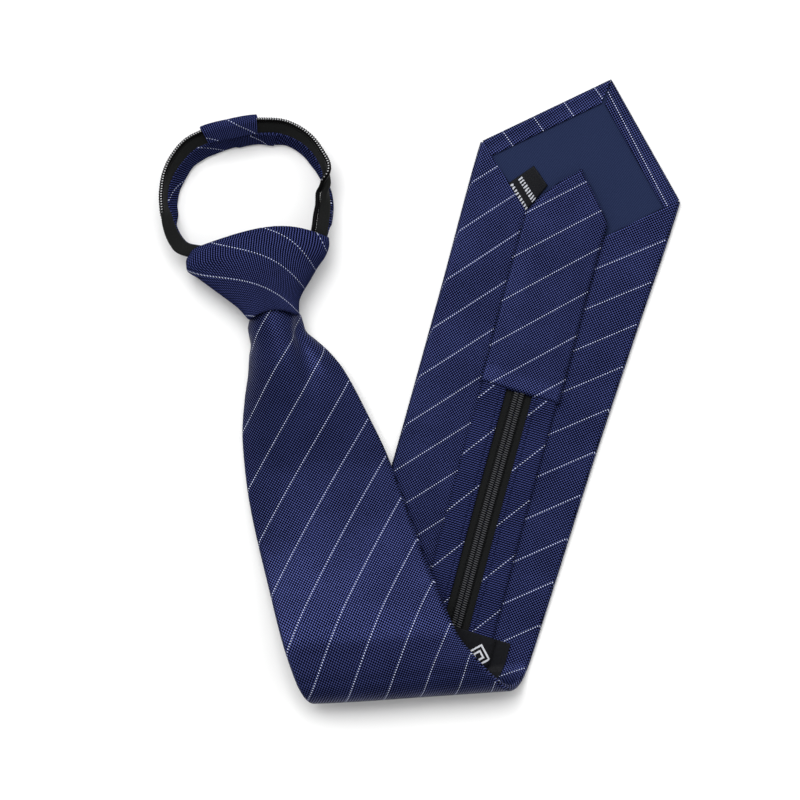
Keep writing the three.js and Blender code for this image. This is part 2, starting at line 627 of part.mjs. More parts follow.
// How far the tape and the band start from the seam, so that their edges clear where they bend apart.
function mitre(part, turn) {
  const bendAngle = (part.tape(turn) - part.band(turn)) * RADIANS;
  return GAP / 2 + (BAND_THICKNESS / 2) * Math.abs(Math.tan(bendAngle / 2));
}

function sweepStrand(part, name, turns, outline) {
  const rings = turns.map((turn) => (
    outline(turn).map(([up, side]) => onStrand(part, turn, name, up, side))));
  return loft(rings, outline(turns[0]));
}

function bandGeometry(part) {
  return sweepStrand(part, 'band', strandStations(part), (turn) => {
    const [low, high, half] = [-STRIP_WIDTH - GAP, -mitre(part, turn), BAND_THICKNESS / 2];
    return [[low, -half], [high, -half], [high, half], [low, half]];
  });
}

function tapeGeometry(part) {
  return sweepStrand(part, 'tape', strandStations(part), (turn) => {
    const [low, high, half] = [mitre(part, turn), TAPE_WIDTH - GAP, TAPE_THICKNESS / 2];
    return [[low, -half], [high, -half], [high, half], [low, half]];
  });
}

function coilOutline(middle, width, thickness) {
  const [w, t] = [width / 2, thickness / 2];
  return [
    [middle - w, -t / 2], [middle - w / 2, -t], [middle + w / 2, -t], [middle + w, -t / 2],
    [middle + w, t / 2], [middle + w / 2, t], [middle - w / 2, t], [middle - w, t / 2],
  ];
}

function neckCoilGeometry(part) {
  const outline = coilOutline(TAPE_WIDTH + NECK_COIL / 2, NECK_COIL, COIL_THICKNESS);
  return sweepStrand(part, 'tape', strandStations(part), () => outline);
}

function tailCoilGeometry() {
  const outline = coilOutline(0, COIL_WIDTH, COIL_THICKNESS);
  const depth = TAIL_TOP + COIL_TOP + COIL_THICKNESS / 2;
  const rings = zippedStations.map((v) => outline.map(([x, y]) => (
    onBlade(tailMiddle(v) + x * tailScale(v), v, depth + y))));
  return loft(rings, outline);
}

// Cloth folded over both tapes where they meet at the back of the neck.
function sleeveGeometry(part) {
  const half = SLEEVE_LENGTH / 2 / (NECK_RADIUS * part.reach(SLEEVE_TURN)) / RADIANS;
  const inner = COIL_THICKNESS / 2 + GAP;
  const outer = inner + SLEEVE_WALL;
  const top = TAPE_WIDTH + NECK_COIL + GAP;
  const low = 1.2;
  const outline = [
    [low, -outer], [top + SLEEVE_WALL, -outer], [top + SLEEVE_WALL, outer], [low, outer],
    [low, inner], [top, inner], [top, -inner], [low, -inner],
  ];
  const turns = strandStations(part, SLEEVE_TURN - half, SLEEVE_TURN + half);
  return sweepStrand(part, 'tape', turns, () => outline);
}

const leftStrand = strand(NECK_LEFT, NECK_LEFT_END);
const rightStrand = strand(NECK_RIGHT, NECK_RIGHT_END);
const backOfNeck = strand([...NECK_LEFT, ...NECK_RIGHT.slice(1)], NECK_LEFT_END);

const navyTwill = { color: 0x272d5c, roughness: 0.55, metalness: 0 };
const navyLining = { color: 0x2d3551, roughness: 0.5, metalness: 0 };
const blackTape = { color: 0x17181a, roughness: 0.8, metalness: 0 };
const blackNylon = { color: 0x1c1d20, roughness: 0.35, metalness: 0 };
const blackSatin = { color: 0x15161a, roughness: 0.4, metalness: 0 };
const greyMetal = { color: 0x6f7276, roughness: 0.4, metalness: 0.9 };

const tie = new THREE.Group();

function add(name, geometry, finish) {
  const mesh = new THREE.Mesh(geometry, new THREE.MeshStandardMaterial(finish));
  mesh.name = name;
  tie.add(mesh);
}

const stripInner = TAPE_WIDTH + GAP;
const stripOuter = stripInner + STRIP_WIDTH;

add('front_blade', bladeGeometry(), navyTwill);
add('tip_lining', liningGeometry(), navyLining);
add('care_label', careLabelGeometry(), blackSatin);
add('tail_panel', tailPanelGeometry(), navyTwill);
add('tail_strip_left', onTail(-stripOuter, -stripInner, TAIL_THICKNESS, 3), navyTwill);
add('tail_strip_right', onTail(stripInner, stripOuter, TAIL_THICKNESS, 3), navyTwill);
add('tail_tape_left', onTail(-TAPE_WIDTH, -GAP / 2, TAPE_THICKNESS, 2), blackTape);
add('tail_tape_right', onTail(GAP / 2, TAPE_WIDTH, TAPE_THICKNESS, 2), blackTape);
add('tail_coil', tailCoilGeometry(), blackNylon);
add('keeper_loop', keeperGeometry(), blackSatin);
add('knot', knotGeometry(), navyTwill);
add('zip_slider', sliderGeometry(), greyMetal);
for (const [side, part] of [['left', leftStrand], ['right', rightStrand]]) {
  add(`neck_band_${side}`, bandGeometry(part), navyTwill);
  add(`neck_tape_${side}`, tapeGeometry(part), blackTape);
  add(`neck_coil_${side}`, neckCoilGeometry(part), blackNylon);
}
add('neck_sleeve', sleeveGeometry(backOfNeck), navyTwill);

export default tie;
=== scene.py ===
"""Zipper tie of navy pinstriped cloth, lying folded in two on a white table, seen straight from above.

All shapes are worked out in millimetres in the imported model's frame, +Z up and the table at z = 0, and
turned into metres when a mesh is made. The blade leaves the knot face up as the near arm, rolls under
itself at the fold and comes back face down as the far arm, with the zipped tail along its back.
A surface is a grid of points, worked out as whole arrays, and each grid carries its place on the flat
cloth in millimetres: x square to the pinstripes and y along them.
"""

import bmesh
import bpy
import numpy as np
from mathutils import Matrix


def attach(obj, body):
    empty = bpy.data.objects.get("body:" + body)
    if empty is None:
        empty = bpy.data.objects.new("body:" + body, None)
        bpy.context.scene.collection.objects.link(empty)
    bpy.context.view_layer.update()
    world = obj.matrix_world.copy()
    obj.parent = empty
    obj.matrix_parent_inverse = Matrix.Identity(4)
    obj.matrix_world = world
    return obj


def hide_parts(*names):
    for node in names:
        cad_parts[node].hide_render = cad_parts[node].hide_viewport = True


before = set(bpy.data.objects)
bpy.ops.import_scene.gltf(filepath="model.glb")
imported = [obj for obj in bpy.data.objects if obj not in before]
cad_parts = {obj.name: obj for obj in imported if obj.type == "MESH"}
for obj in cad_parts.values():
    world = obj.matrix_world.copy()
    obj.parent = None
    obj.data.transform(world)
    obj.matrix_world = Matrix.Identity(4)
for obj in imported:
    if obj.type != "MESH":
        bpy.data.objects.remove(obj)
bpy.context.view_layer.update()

# Camera and light

VIEW_CENTRE = (-43.3, 8.0)  # the photograph's middle, on the table
VIEW_WIDTH = 320.0
CAMERA_HEIGHT = 2400.0
SENSOR = 36.0

# The tie's driving dimensions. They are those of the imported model, but the hem is 1.2 wider and the
# sleeve 1.4 shorter than their solids, and some of the tables' rows follow the photograph closer.

BLADE_LENGTH = 428.0
BLADE_WIDTH = 81.0
BLADE_POINT = 39.0
BLADE_THICKNESS = 3.0
BLADE_TUCK = 13.0
NEAR_ARM = 148.0
FOLD_HEIGHT = 22.0
CREASE_TURN = np.radians(4.0)
HEM_WIDTH = 7.2
FLAP_DEPTH = 37.0
CARE_LABEL_WIDTH = 9.0
CARE_LABEL_LENGTH = 15.0
TAIL_END = 38.0
TAIL_WIDTH = 33.0
TAIL_POINT = 19.0
TAIL_PANEL = 93.0
TAIL_THICKNESS = 2.8
STRIP_WIDTH = 10.2
TAPE_WIDTH = 5.0
TAPE_THICKNESS = 0.8
COIL_THICKNESS = 1.9
KEEPER_LENGTH = 20.0
KEEPER_FOOT = 6.5
KEEPER_AT = 190.5
KEEPER_THICKNESS = 0.8
KEEPER_SHEET = 0.45  # of its satin alone
KNOT_LENGTH = 30.0
KNOT_WIDTH = 57.6
KNOT_DEPTH = 21.5
KNOT_WALL = 1.5
MOUTH_CUT = 0.14
ARCH_SKEW = 0.5
RIM_ARCH = 0.82  # the rolled rim makes up the rest of the arch
HEM_UP = 0.045  # share of KNOT_LENGTH by which the hem's roll starts above the solid's end
KNOT_TURN = np.radians(5.0)
NECK_RADIUS = 34.0
BAND_THICKNESS = 1.8
NECK_COIL = 2.0
SLEEVE_LENGTH = 19.6
SLEEVE_WALL = 1.1
SLEEVE_SHEET = 0.95  # of its cloth alone
SLIDER_LENGTH = 10.0
GAP = 0.3
FLOOR_GAP = 0.5
LAYER_GAP = 0.5
NECK_CENTRE_ASIDE = -0.21
NECK_CENTRE_ABOVE = 0.59
SLEEVE_TURN = 105.0
ENTRY_LIFT = KNOT_WALL + 1.9
ENTRY_TURN = 26.0
BODY_LENGTH = BLADE_LENGTH - BLADE_POINT


def table(names, *rows):
    """Rows of numbers as one array for each named column."""
    return dict(zip(names.split(), np.array(rows, float).T))


BLADE_SECTIONS = table(
    "along heading left right curl_left curl_right",
    (-0.012, 9.6, 0.183, 0.183, 9.8, 9.8),
    (-0.003, 9.6, 0.19, 0.188, 7.8, 8.2),
    (0.004, 9.7, 0.202, 0.2, 6.9, 7.3),
    (0.018, 9.8, 0.217, 0.206, 6.9, 7.2),
    (0.03, 10.0, 0.24, 0.235, 5.9, 5.4),
    (0.046, 10.4, 0.27, 0.262, 5.0, 3.4),
    (0.069, 10.7, 0.305, 0.288, 3.6, 1.9),
    (0.113, 11.4, 0.345, 0.318, 1.7, 0.9),
    (0.175, 12.8, 0.382, 0.357, 0.75, 0.5),
    (0.252, 14.9, 0.411, 0.37, 0.5, 0.3),
    (0.321, 17.5, 0.435, 0.376, 0.25, 0.15),
    (0.365, 21.0, 0.438, 0.38, 0.1, 0.1),
    (0.406, 28.5, 0.444, 0.408, 0, 0),
    (0.442, 30.5, 0.451, 0.435, 0, 0),
    (0.488, 22.0, 0.461, 0.447, 0, 0),
    (0.553, 20.8, 0.476, 0.452, 0, 0),
    (0.72, 20.8, 0.493, 0.463, 0, 0),
    (0.848, 20.8, 0.508, 0.48, 0, 0),
    (1.0, 20.8, 0.528, 0.502, 0, 0),
)
NEAR_ARM_RISE = table(
    "back height",
    (0, 0.923), (0.026, 0.966), (0.06, 0.99), (0.095, 1), (0.155, 0.91), (0.25, 0.695), (0.38, 0.54),
    (0.55, 0.475),
    (0.67, 0.55), (0.78, 0.68), (0.85, 0.72), (0.91, 0.725), (1.0, 0.71),
)
TAIL_SECTIONS = table(
    "along aside spread",
    (0.0, 0, 0.8), (0.04, 0, 0.86), (0.1, 0.01, 1), (0.23, 0.05, 1), (0.35, 0.12, 1),
    (0.43, 0.127, 1), (0.47, 0.112, 1), (0.58, 0.067, 1), (0.69, 0.033, 1), (0.86, -0.033, 1),
    (0.92, -0.03, 1),
)
TAIL_POINT_OUTLINE = table(
    "back left right",
    (0, 0.02, 0.02), (0.3, 0.17, 0.17), (0.62, 0.31, 0.34), (0.8, 0.385, 0.43), (1, 0.44, 0.5),
    (1.25, 0.5, 0.5),
)
KNOT_RINGS = table(
    "along left right height arch back square",
    (0.0, 0.179, 0.177, 0.81, 0.115, 0, 3.8),
    (0.1, 0.208, 0.178, 0.84, 0.12, 0, 3.6),
    (0.2, 0.25, 0.184, 0.87, 0.13, 0, 3.0),
    (0.3, 0.307, 0.208, 0.91, 0.14, 0, 2.9),
    (0.45, 0.395, 0.265, 0.96, 0.155, 0.01, 2.8),
    (0.62, 0.49, 0.326, 1.0, 0.18, 0.03, 2.8),
    (0.8, 0.573, 0.395, 0.98, 0.2, 0.07, 3.6),
    (0.92, 0.572, 0.42, 0.93, 0.215, 0.12, 4.2),
    (1.0, 0.548, 0.427, 0.88, 0.225, 0.16, 4.6),
)
NECK_COLUMNS = "turn reach tape band"
NECK_LEFT = table(
    NECK_COLUMNS,
    (103, 0.715, 53, 20), (127, 0.782, 53, 28), (140, 0.845, 49, 30), (153, 0.882, 43, 24),
    (166, 0.93, 30, 27), (177, 0.958, 21, 23), (187, 0.965, 20, 18), (196, 0.94, 37, 9),
    (205, 0.94, 48, -8), (216, 0.925, 62, -26),
)
NECK_RIGHT = table(
    NECK_COLUMNS,
    (103, 0.715, 53, 20), (80, 0.753, 53, 20), (65, 0.815, 52, 27), (53, 0.857, 46, 20),
    (41, 0.892, 38, 19), (30, 0.912, 30, 18), (20, 0.915, 36, 12), (14, 0.908, 46, 6),
    (8, 0.918, 34, 0), (1, 0.935, -20, -3), (-8, 0.955, -52, -4), (-18, 0.98, -72, -4),
)
NECK_LEFT_END = table("across up tape band", (-0.455, 1.02, 88, -34), (-0.38, 0.88, 96, -34))
NECK_RIGHT_END = table("across up tape band", (0.38, 1.02, -76, 16), (0.31, 0.76, -74, 34))


def curve(rows, key, column):
    """Monotone cubic through one column of a table, level beyond its ends."""
    order = np.argsort(rows[key])
    x, y = rows[key][order], rows[column][order]
    step = np.diff(x)
    rate = np.diff(y) / step
    before = 2 * step[1:] + step[:-1]
    after = step[1:] + 2 * step[:-1]
    steady = rate[:-1] * rate[1:] > 0
    low, high = np.where(steady, rate[:-1], 1), np.where(steady, rate[1:], 1)
    slope = np.zeros(len(y))
    slope[1:-1] = np.where(steady, (before + after) / (before / low + after / high), 0)

    def at(value):
        value = np.clip(value, x[0], x[-1])
        i = np.clip(np.searchsorted(x, value, side="right") - 1, 0, len(x) - 2)
        t = (value - x[i]) / step[i]
        rise = (1 - t) ** 2
        return ((1 + 2 * t) * rise * y[i] + t * rise * step[i] * slope[i]
                + t * t * (3 - 2 * t) * y[i + 1] + t * t * (t - 1) * step[i] * slope[i + 1])

    return at


heading = curve(BLADE_SECTIONS, "along", "heading")
blade_left = curve(BLADE_SECTIONS, "along", "left")
blade_right = curve(BLADE_SECTIONS, "along", "right")
curl_left = curve(BLADE_SECTIONS, "along", "curl_left")
curl_right = curve(BLADE_SECTIONS, "along", "curl_right")
arm_rise = curve(NEAR_ARM_RISE, "back", "height")
tail_aside = curve(TAIL_SECTIONS, "along", "aside")
tail_spread = curve(TAIL_SECTIONS, "along", "spread")

# The blade's middle line laid out flat: a along the crease, b square to it, b = 0 where the roll starts
LINE_STEP = 0.5
line_v = np.arange(-BLADE_TUCK - SLIDER_LENGTH, BLADE_LENGTH + 2 * LINE_STEP, LINE_STEP)
line_heading = np.radians(heading((line_v + LINE_STEP / 2) / BODY_LENGTH))
line_a = LINE_STEP * np.concatenate([[0], np.cumsum(np.sin(line_heading))[:-1]])
line_b = LINE_STEP * np.concatenate([[0], np.cumsum(np.cos(line_heading))[:-1]])
line_a -= np.interp(NEAR_ARM, line_v, line_a)
line_b -= np.interp(NEAR_ARM, line_v, line_b)

FOLD_RADIUS = (FOLD_HEIGHT - BLADE_THICKNESS) / 2
FOLD_ARC = np.pi * FOLD_RADIUS
KNOT_ASIDE = -1.4  # the cloth of the knot and the throat lies this far to the left of their solids
ROLL_LEAN = 0.3  # radians by which the roll's top already leans forward
ROLL_SINK = 0.055  # share by which the roll's top is lower than a plain half circle


def smooth(value, start, end):
    """0 before start, 1 after end, and t^2 (3 - 2 t) between."""
    t = np.clip((value - start) / (end - start), 0, 1)
    return t * t * (3 - 2 * t)


def on_blade_raw(across, along, deep):
    """Bends a place on the flat blade into the folded tie.

    The cross-section curls to a radius, so aside = (R - deep) sin(across / R) and
    down = R - (R - deep) cos(across / R); then b runs along the arm, round the roll and back on the table.
    """
    across, along, deep = np.broadcast_arrays(
        np.asarray(across, float), np.asarray(along, float), np.asarray(deep, float))
    share = along / BODY_LENGTH
    curl = np.maximum(np.where(across < 0, curl_left(share), curl_right(share)), 0.001) / BLADE_WIDTH
    aside = (1 / curl - deep) * np.sin(curl * across)
    down = 1 / curl - (1 / curl - deep) * np.cos(curl * across)
    angle = np.radians(heading(share))
    a = np.interp(along, line_v, line_a) + aside * np.cos(angle)
    a = a + KNOT_ASIDE * (1 - smooth(along, 5, 60))
    b = np.interp(along, line_v, line_b) - aside * np.sin(angle)
    radius = FOLD_HEIGHT / 2 - down
    turn = ROLL_LEAN + np.clip(b / FOLD_ARC, 0, 1) * (np.pi - ROLL_LEAN)
    drawn = b + radius * np.sin(ROLL_LEAN) * smooth(b, -30, 0)
    out = np.where(b <= 0, drawn, np.where(b >= FOLD_ARC, FOLD_ARC - b, radius * np.sin(turn)))
    near = FOLD_HEIGHT * arm_rise(-b / NEAR_ARM) - down
    rolled = (FOLD_HEIGHT / 2 + radius * np.cos(turn)) * (1 - ROLL_SINK * (1 + np.cos(turn)) / 2)
    z = np.where(b <= 0, near, np.where(b >= FOLD_ARC, down, rolled))
    x = a * np.cos(CREASE_TURN) + out * np.sin(CREASE_TURN)
    y = a * np.sin(CREASE_TURN) - out * np.cos(CREASE_TURN)
    return np.stack([x, y, z], -1)


FAR_ARM_START = NEAR_ARM + FOLD_ARC / np.cos(np.radians(heading(0.42)))
ORIGIN = on_blade_raw(0.0, (FAR_ARM_START + BODY_LENGTH) / 2, 0.0)


def on_blade(across, along, deep):
    """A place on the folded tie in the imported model's frame, its middle on the table at the origin."""
    return on_blade_raw(across, along, deep) - ORIGIN


def half_left(along):
    """Width of the blade from its middle line to its left edge."""
    return BLADE_WIDTH * blade_left(along / BODY_LENGTH)


def half_right(along):
    """Width of the blade from its middle line to its right edge."""
    return BLADE_WIDTH * blade_right(along / BODY_LENGTH)


def tail_middle(along):
    """How far the tail's middle lies to the right of the blade's."""
    return TAIL_WIDTH * tail_aside(along / BLADE_LENGTH)


def on_tail(aside, along, deep):
    """A place on the tail, aside from its own middle line."""
    return on_blade(tail_middle(along) + aside * tail_spread(along / BLADE_LENGTH), along, deep)


def spaced(*stops):
    """Stations between pairs of (position, step), each pair's step up to the next position."""
    lines = [
        np.linspace(a, b, max(2, int(round((b - a) / step)) + 1))[:-1]
        for (a, step), (b, _) in zip(stops[:-1], stops[1:])
    ]
    return np.concatenate([*lines, [stops[-1][0]]])


# Meshes from grids

def grid_mesh(name, points, pattern, around=False, ring_of_rows=False, caps=()):
    """Object from points (pieces, rows, columns, 3) in mm and pattern (pieces, rows, columns, 2) in mm.

    around joins the last column to the first and ring_of_rows the last row to the first; pattern then
    has one more column or row than points, so that the cloth's coordinates run on across the join.
    caps are the rows to close with a face, and points that coincide are joined.
    """
    if points.ndim == 3:
        points, pattern = points[None], pattern[None]
    pieces, rows, columns = points.shape[:3]
    piece, row, column = np.meshgrid(
        np.arange(pieces), np.arange(rows if ring_of_rows else rows - 1),
        np.arange(columns if around else columns - 1), indexing="ij")
    corners = [(row, column), (row, column + 1), (row + 1, column + 1), (row + 1, column)]
    quads = np.stack(
        [(piece * rows + r % rows) * columns + c % columns for r, c in corners], -1).reshape(-1, 4)
    uvs = np.stack([pattern[piece, r, c] for r, c in corners], -2).reshape(-1, 2)
    flat = points.reshape(-1, 3) * 1e-3
    p = flat[quads] - flat.mean(0)
    volume = (np.einsum("ij,ij->i", p[:, 0], np.cross(p[:, 1], p[:, 2]))
              + np.einsum("ij,ij->i", p[:, 0], np.cross(p[:, 2], p[:, 3]))).sum()
    if volume < 0:
        quads = quads[:, ::-1]
        uvs = uvs.reshape(-1, 4, 2)[:, ::-1].reshape(-1, 2)
    ends = [np.arange(columns) + cap % rows * columns for cap in caps]
    ends = [end[::-1] if (volume < 0) == (cap == 0) else end for end, cap in zip(ends, caps)]
    loops = np.concatenate([quads.ravel(), *ends]).astype(np.int32)
    starts = np.concatenate([np.arange(0, quads.size, 4), quads.size + columns * np.arange(len(caps))])
    places = [end // columns * pattern.shape[2] + end % columns for end in ends]
    end_uvs = [pattern[0].reshape(-1, 2)[spots] for spots in places]
    mesh = bpy.data.meshes.new(name)
    mesh.vertices.add(len(flat))
    mesh.vertices.foreach_set("co", flat.ravel())
    mesh.loops.add(len(loops))
    mesh.loops.foreach_set("vertex_index", loops)
    mesh.polygons.add(len(starts))
    mesh.polygons.foreach_set("loop_start", starts.astype(np.int32))
    mesh.polygons.foreach_set("use_smooth", np.ones(len(starts), bool))
    mesh.uv_layers.new(name="cloth").uv.foreach_set("vector", np.concatenate([uvs, *end_uvs]).ravel())
    mesh.update(calc_edges=True)
    shape = bmesh.new()
    shape.from_mesh(mesh)
    bmesh.ops.remove_doubles(shape, verts=shape.verts, dist=1e-8)
    shape.to_mesh(mesh)
    shape.free()
    made = bpy.data.objects.new(name, mesh)
    bpy.context.scene.collection.objects.link(made)
    return made


def place(made, material, slot, nodes=(), **cloth):
    """Gives a piece its material and body, and hides the nodes it stands for. slot and the cloth's values are
    not used.
    """
    made.data.materials.append(material)
    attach(made, "root")
    if nodes:
        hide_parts(*nodes)


def strip_ring(flats, arc):
    """Outline of a flat strip with half-round edges: place across (-1 to 1), edge reach, depth share."""
    turn = np.linspace(0, np.pi, arc + 1)[1:-1]
    level = np.linspace(-1, 1, flats)
    x = np.concatenate([level, np.ones(arc - 1), level[::-1], -np.ones(arc - 1)])
    reach = np.concatenate([0 * level, np.sin(turn), 0 * level, -np.sin(turn)])
    depth = np.concatenate([0 * level, (1 - np.cos(turn)) / 2, 1 + 0 * level, (1 + np.cos(turn)) / 2])
    return x, reach, depth


def wrap(values, total=None):
    """Repeats the first column at the end, so that a closed ring's pattern has its joining column."""
    return np.concatenate([values, values[..., :1] if total is None else values[..., :1] + total], -1)


def end_rows(stations, radius, count=6):
    """Adds rows close to both ends of a strip and gives how much of its thickness each row keeps."""
    turn = np.linspace(0, np.pi / 2, count)
    near = radius * (1 - np.cos(turn))
    middle = stations[(stations > stations[0] + radius) & (stations < stations[-1] - radius)]
    rows = np.concatenate([stations[0] + near, middle, (stations[-1] - near)[::-1]])
    off_end = np.minimum(rows - rows[0], rows[-1] - rows)
    keep = np.sqrt(np.clip(1 - (1 - np.clip(off_end / radius, 0, 1)) ** 2, 0, 1))
    return rows, keep


def closed_strip(name, lay, stations, left, right, top, thickness, pattern, flats=24, arc=8, groove=None):
    """Closed strip with rounded edges and ends: lay(across, along, deep) bends it into place.

    left and right are functions of along; groove(across, along) lowers its outer side.
    """
    rows, keep = end_rows(stations, thickness / 2)
    x, reach, depth = strip_ring(flats, arc)
    low, high = left(rows)[:, None], right(rows)[:, None]
    radius = np.minimum(thickness / 2, (high - low) * 0.45)
    across = (low + high) / 2 + x * ((high - low) / 2 - radius) + reach * radius
    along = np.broadcast_to(rows[:, None], across.shape)
    deep = top + thickness * (0.5 + (depth - 0.5) * keep[:, None])
    if groove is not None:
        deep = deep - groove(across, along) * (depth > 0.5)
    girth = (depth > 0.5) * 2 * thickness
    uv = pattern(across, along, girth)
    return grid_mesh(name, lay(across, along, deep), np.concatenate([uv, uv[:, :1]], 1), around=True)


def tube(name, paths, radius, ref, sides=6, mark=None):
    """Round threads along paths (pieces, points, 3) in mm; radius is one number for each point.

    mark, one number for each point, takes the place of the pattern's x.
    """
    tangent = np.gradient(paths, axis=1)
    tangent /= np.linalg.norm(tangent, axis=-1, keepdims=True)
    side = np.cross(tangent, ref)
    side /= np.linalg.norm(side, axis=-1, keepdims=True)
    up = np.cross(side, tangent)
    turn = np.linspace(0, 2 * np.pi, sides, endpoint=False)
    reach = np.broadcast_to(radius, paths.shape[1])[None, :, None, None]
    points = paths[:, :, None] + reach * (
        np.cos(turn)[:, None] * side[:, :, None] + np.sin(turn)[:, None] * up[:, :, None])
    run = np.cumsum(np.linalg.norm(np.diff(paths, axis=1, prepend=paths[:, :1]), axis=-1), 1)
    first = np.linspace(0, 1, sides + 1) if mark is None else mark[None, :, None]
    uv = np.stack(np.broadcast_arrays(first, run[:, :, None] + np.zeros(sides + 1)), -1)
    return grid_mesh(name, points, uv, around=True)


# Cloth coordinates

STRIPE_PITCH = 13.6  # between pinstripes, square to them
BIAS = (0.0515, 0.0525)  # stripes crossed for each mm across and along the blade
# The same for each cut piece, with the stripes already crossed at its zero
FACE = (0.0500, 0.0526, 1.213)
LEFT_FLAP = (0.0569, 0.0515, 1.31)
RIGHT_FLAP = (0.0475, 0.0544, 0.752)
LEFT_HEM = (-0.0462, -0.0589, 24.653)
RIGHT_HEM = (0.052, 0.0508, -0.484)
TAIL_BIAS = (0.0537, -0.0550, 20.706)
STRIP_LEFT_BIAS = (0.0587, -0.0428, 13.015)
STRIP_RIGHT_BIAS = (0.0598, -0.0441, 12.099)


def phase(u, v, bias):
    """Stripes crossed at a place: bias[0] for each mm across, bias[1] for each mm along, plus bias[2]."""
    return bias[0] * u + bias[1] * v + bias[2]


def bias_cloth(u, v, bias):
    """Cloth coordinates in mm of a place u across and v along a piece that is cut on the bias."""
    run = (bias[0] * v - bias[1] * u) / np.hypot(*bias[:2])
    return np.stack([phase(u, v, bias) * STRIPE_PITCH, run], -1)


# Materials

def srgb(text):
    """Linear colour with alpha from an sRGB hex string."""
    value = np.array([int(text[i:i + 2], 16) for i in (1, 3, 5)]) / 255
    linear = np.where(value <= 0.04045, value / 12.92, ((value + 0.055) / 1.055) ** 2.4)
    return (*linear, 1.0)


def add(tree, kind, inputs=(), output=0, **settings):
    """Adds a shader node with its settings and links, and gives one of its output sockets.

    inputs are constants or sockets to link, in the node's own order, or keyed by name or number.
    """
    made = tree.nodes.new("ShaderNode" + kind)
    for key, value in settings.items():
        setattr(made, key, value)
    keyed = inputs if isinstance(inputs, dict) else dict(enumerate(inputs))
    for key, value in keyed.items():
        if isinstance(value, bpy.types.NodeSocket):
            tree.links.new(value, made.inputs[key])
        else:
            made.inputs[key].default_value = value
    return made.outputs[output]


def new_material(name, roughness, sheen=0.0, metallic=0.0, specular=0.5, tint="#ffffff"):
    """A material with its even values on the shader's own sockets, its node tree and its shader."""
    material = bpy.data.materials.new(name)
    material.use_nodes = True
    tree = material.node_tree
    shader = tree.nodes["Principled BSDF"]
    shader.inputs["Roughness"].default_value = roughness
    shader.inputs["Metallic"].default_value = metallic
    shader.inputs["Specular IOR Level"].default_value = specular
    shader.inputs["Specular Tint"].default_value = srgb(tint)
    shader.inputs["Sheen Weight"].default_value = sheen
    shader.inputs["Sheen Roughness"].default_value = 0.5
    return material, tree, shader


def cloth_axes(tree):
    """The cloth's coordinates in mm as one vector, and alone: x square to the stripes, y along them."""
    uv = add(tree, "UVMap", uv_map="cloth")
    axes = add(tree, "SeparateXYZ", (uv,)).node.outputs
    return uv, axes[0], axes[1]


def wave(tree, value, period):
    """sin(2 pi value / period), one rise and fall for each thread that is crossed."""
    angle = add(tree, "Math", (value, 2 * np.pi / period), operation="MULTIPLY")
    return add(tree, "Math", (angle,), operation="SINE")


def finish(tree, shader, colour, height, strength, distance):
    """Links the colour, and tilts the surface as if height 1 stood distance mm above height 0."""
    normal = add(tree, "Bump", {"Height": height, "Strength": strength, "Distance": distance * 1e-3})
    tree.links.new(colour, shader.inputs["Base Color"])
    tree.links.new(normal, shader.inputs["Normal"])


# Real yarns are about 0.2 mm apart, finer than a pixel. They are drawn this far apart, so that they show.
WEAVE_CELL = 0.9
LINING_CELL = 0.6
THREAD_CELL = 0.3
TAPE_RIB = 0.55
SATIN_FLOAT = 0.45
MEAN_SHARE = 0.45  # of a woven face that is raised yarn
MIRRORING = 0.5  # cloth with more gloss than this gleams on its raised yarns alone
DOT_PITCH = 1.0
DOT_RADIUS = 0.2
EVEN_START = 1000  # whole pitches added, so that a pattern also runs on below zero


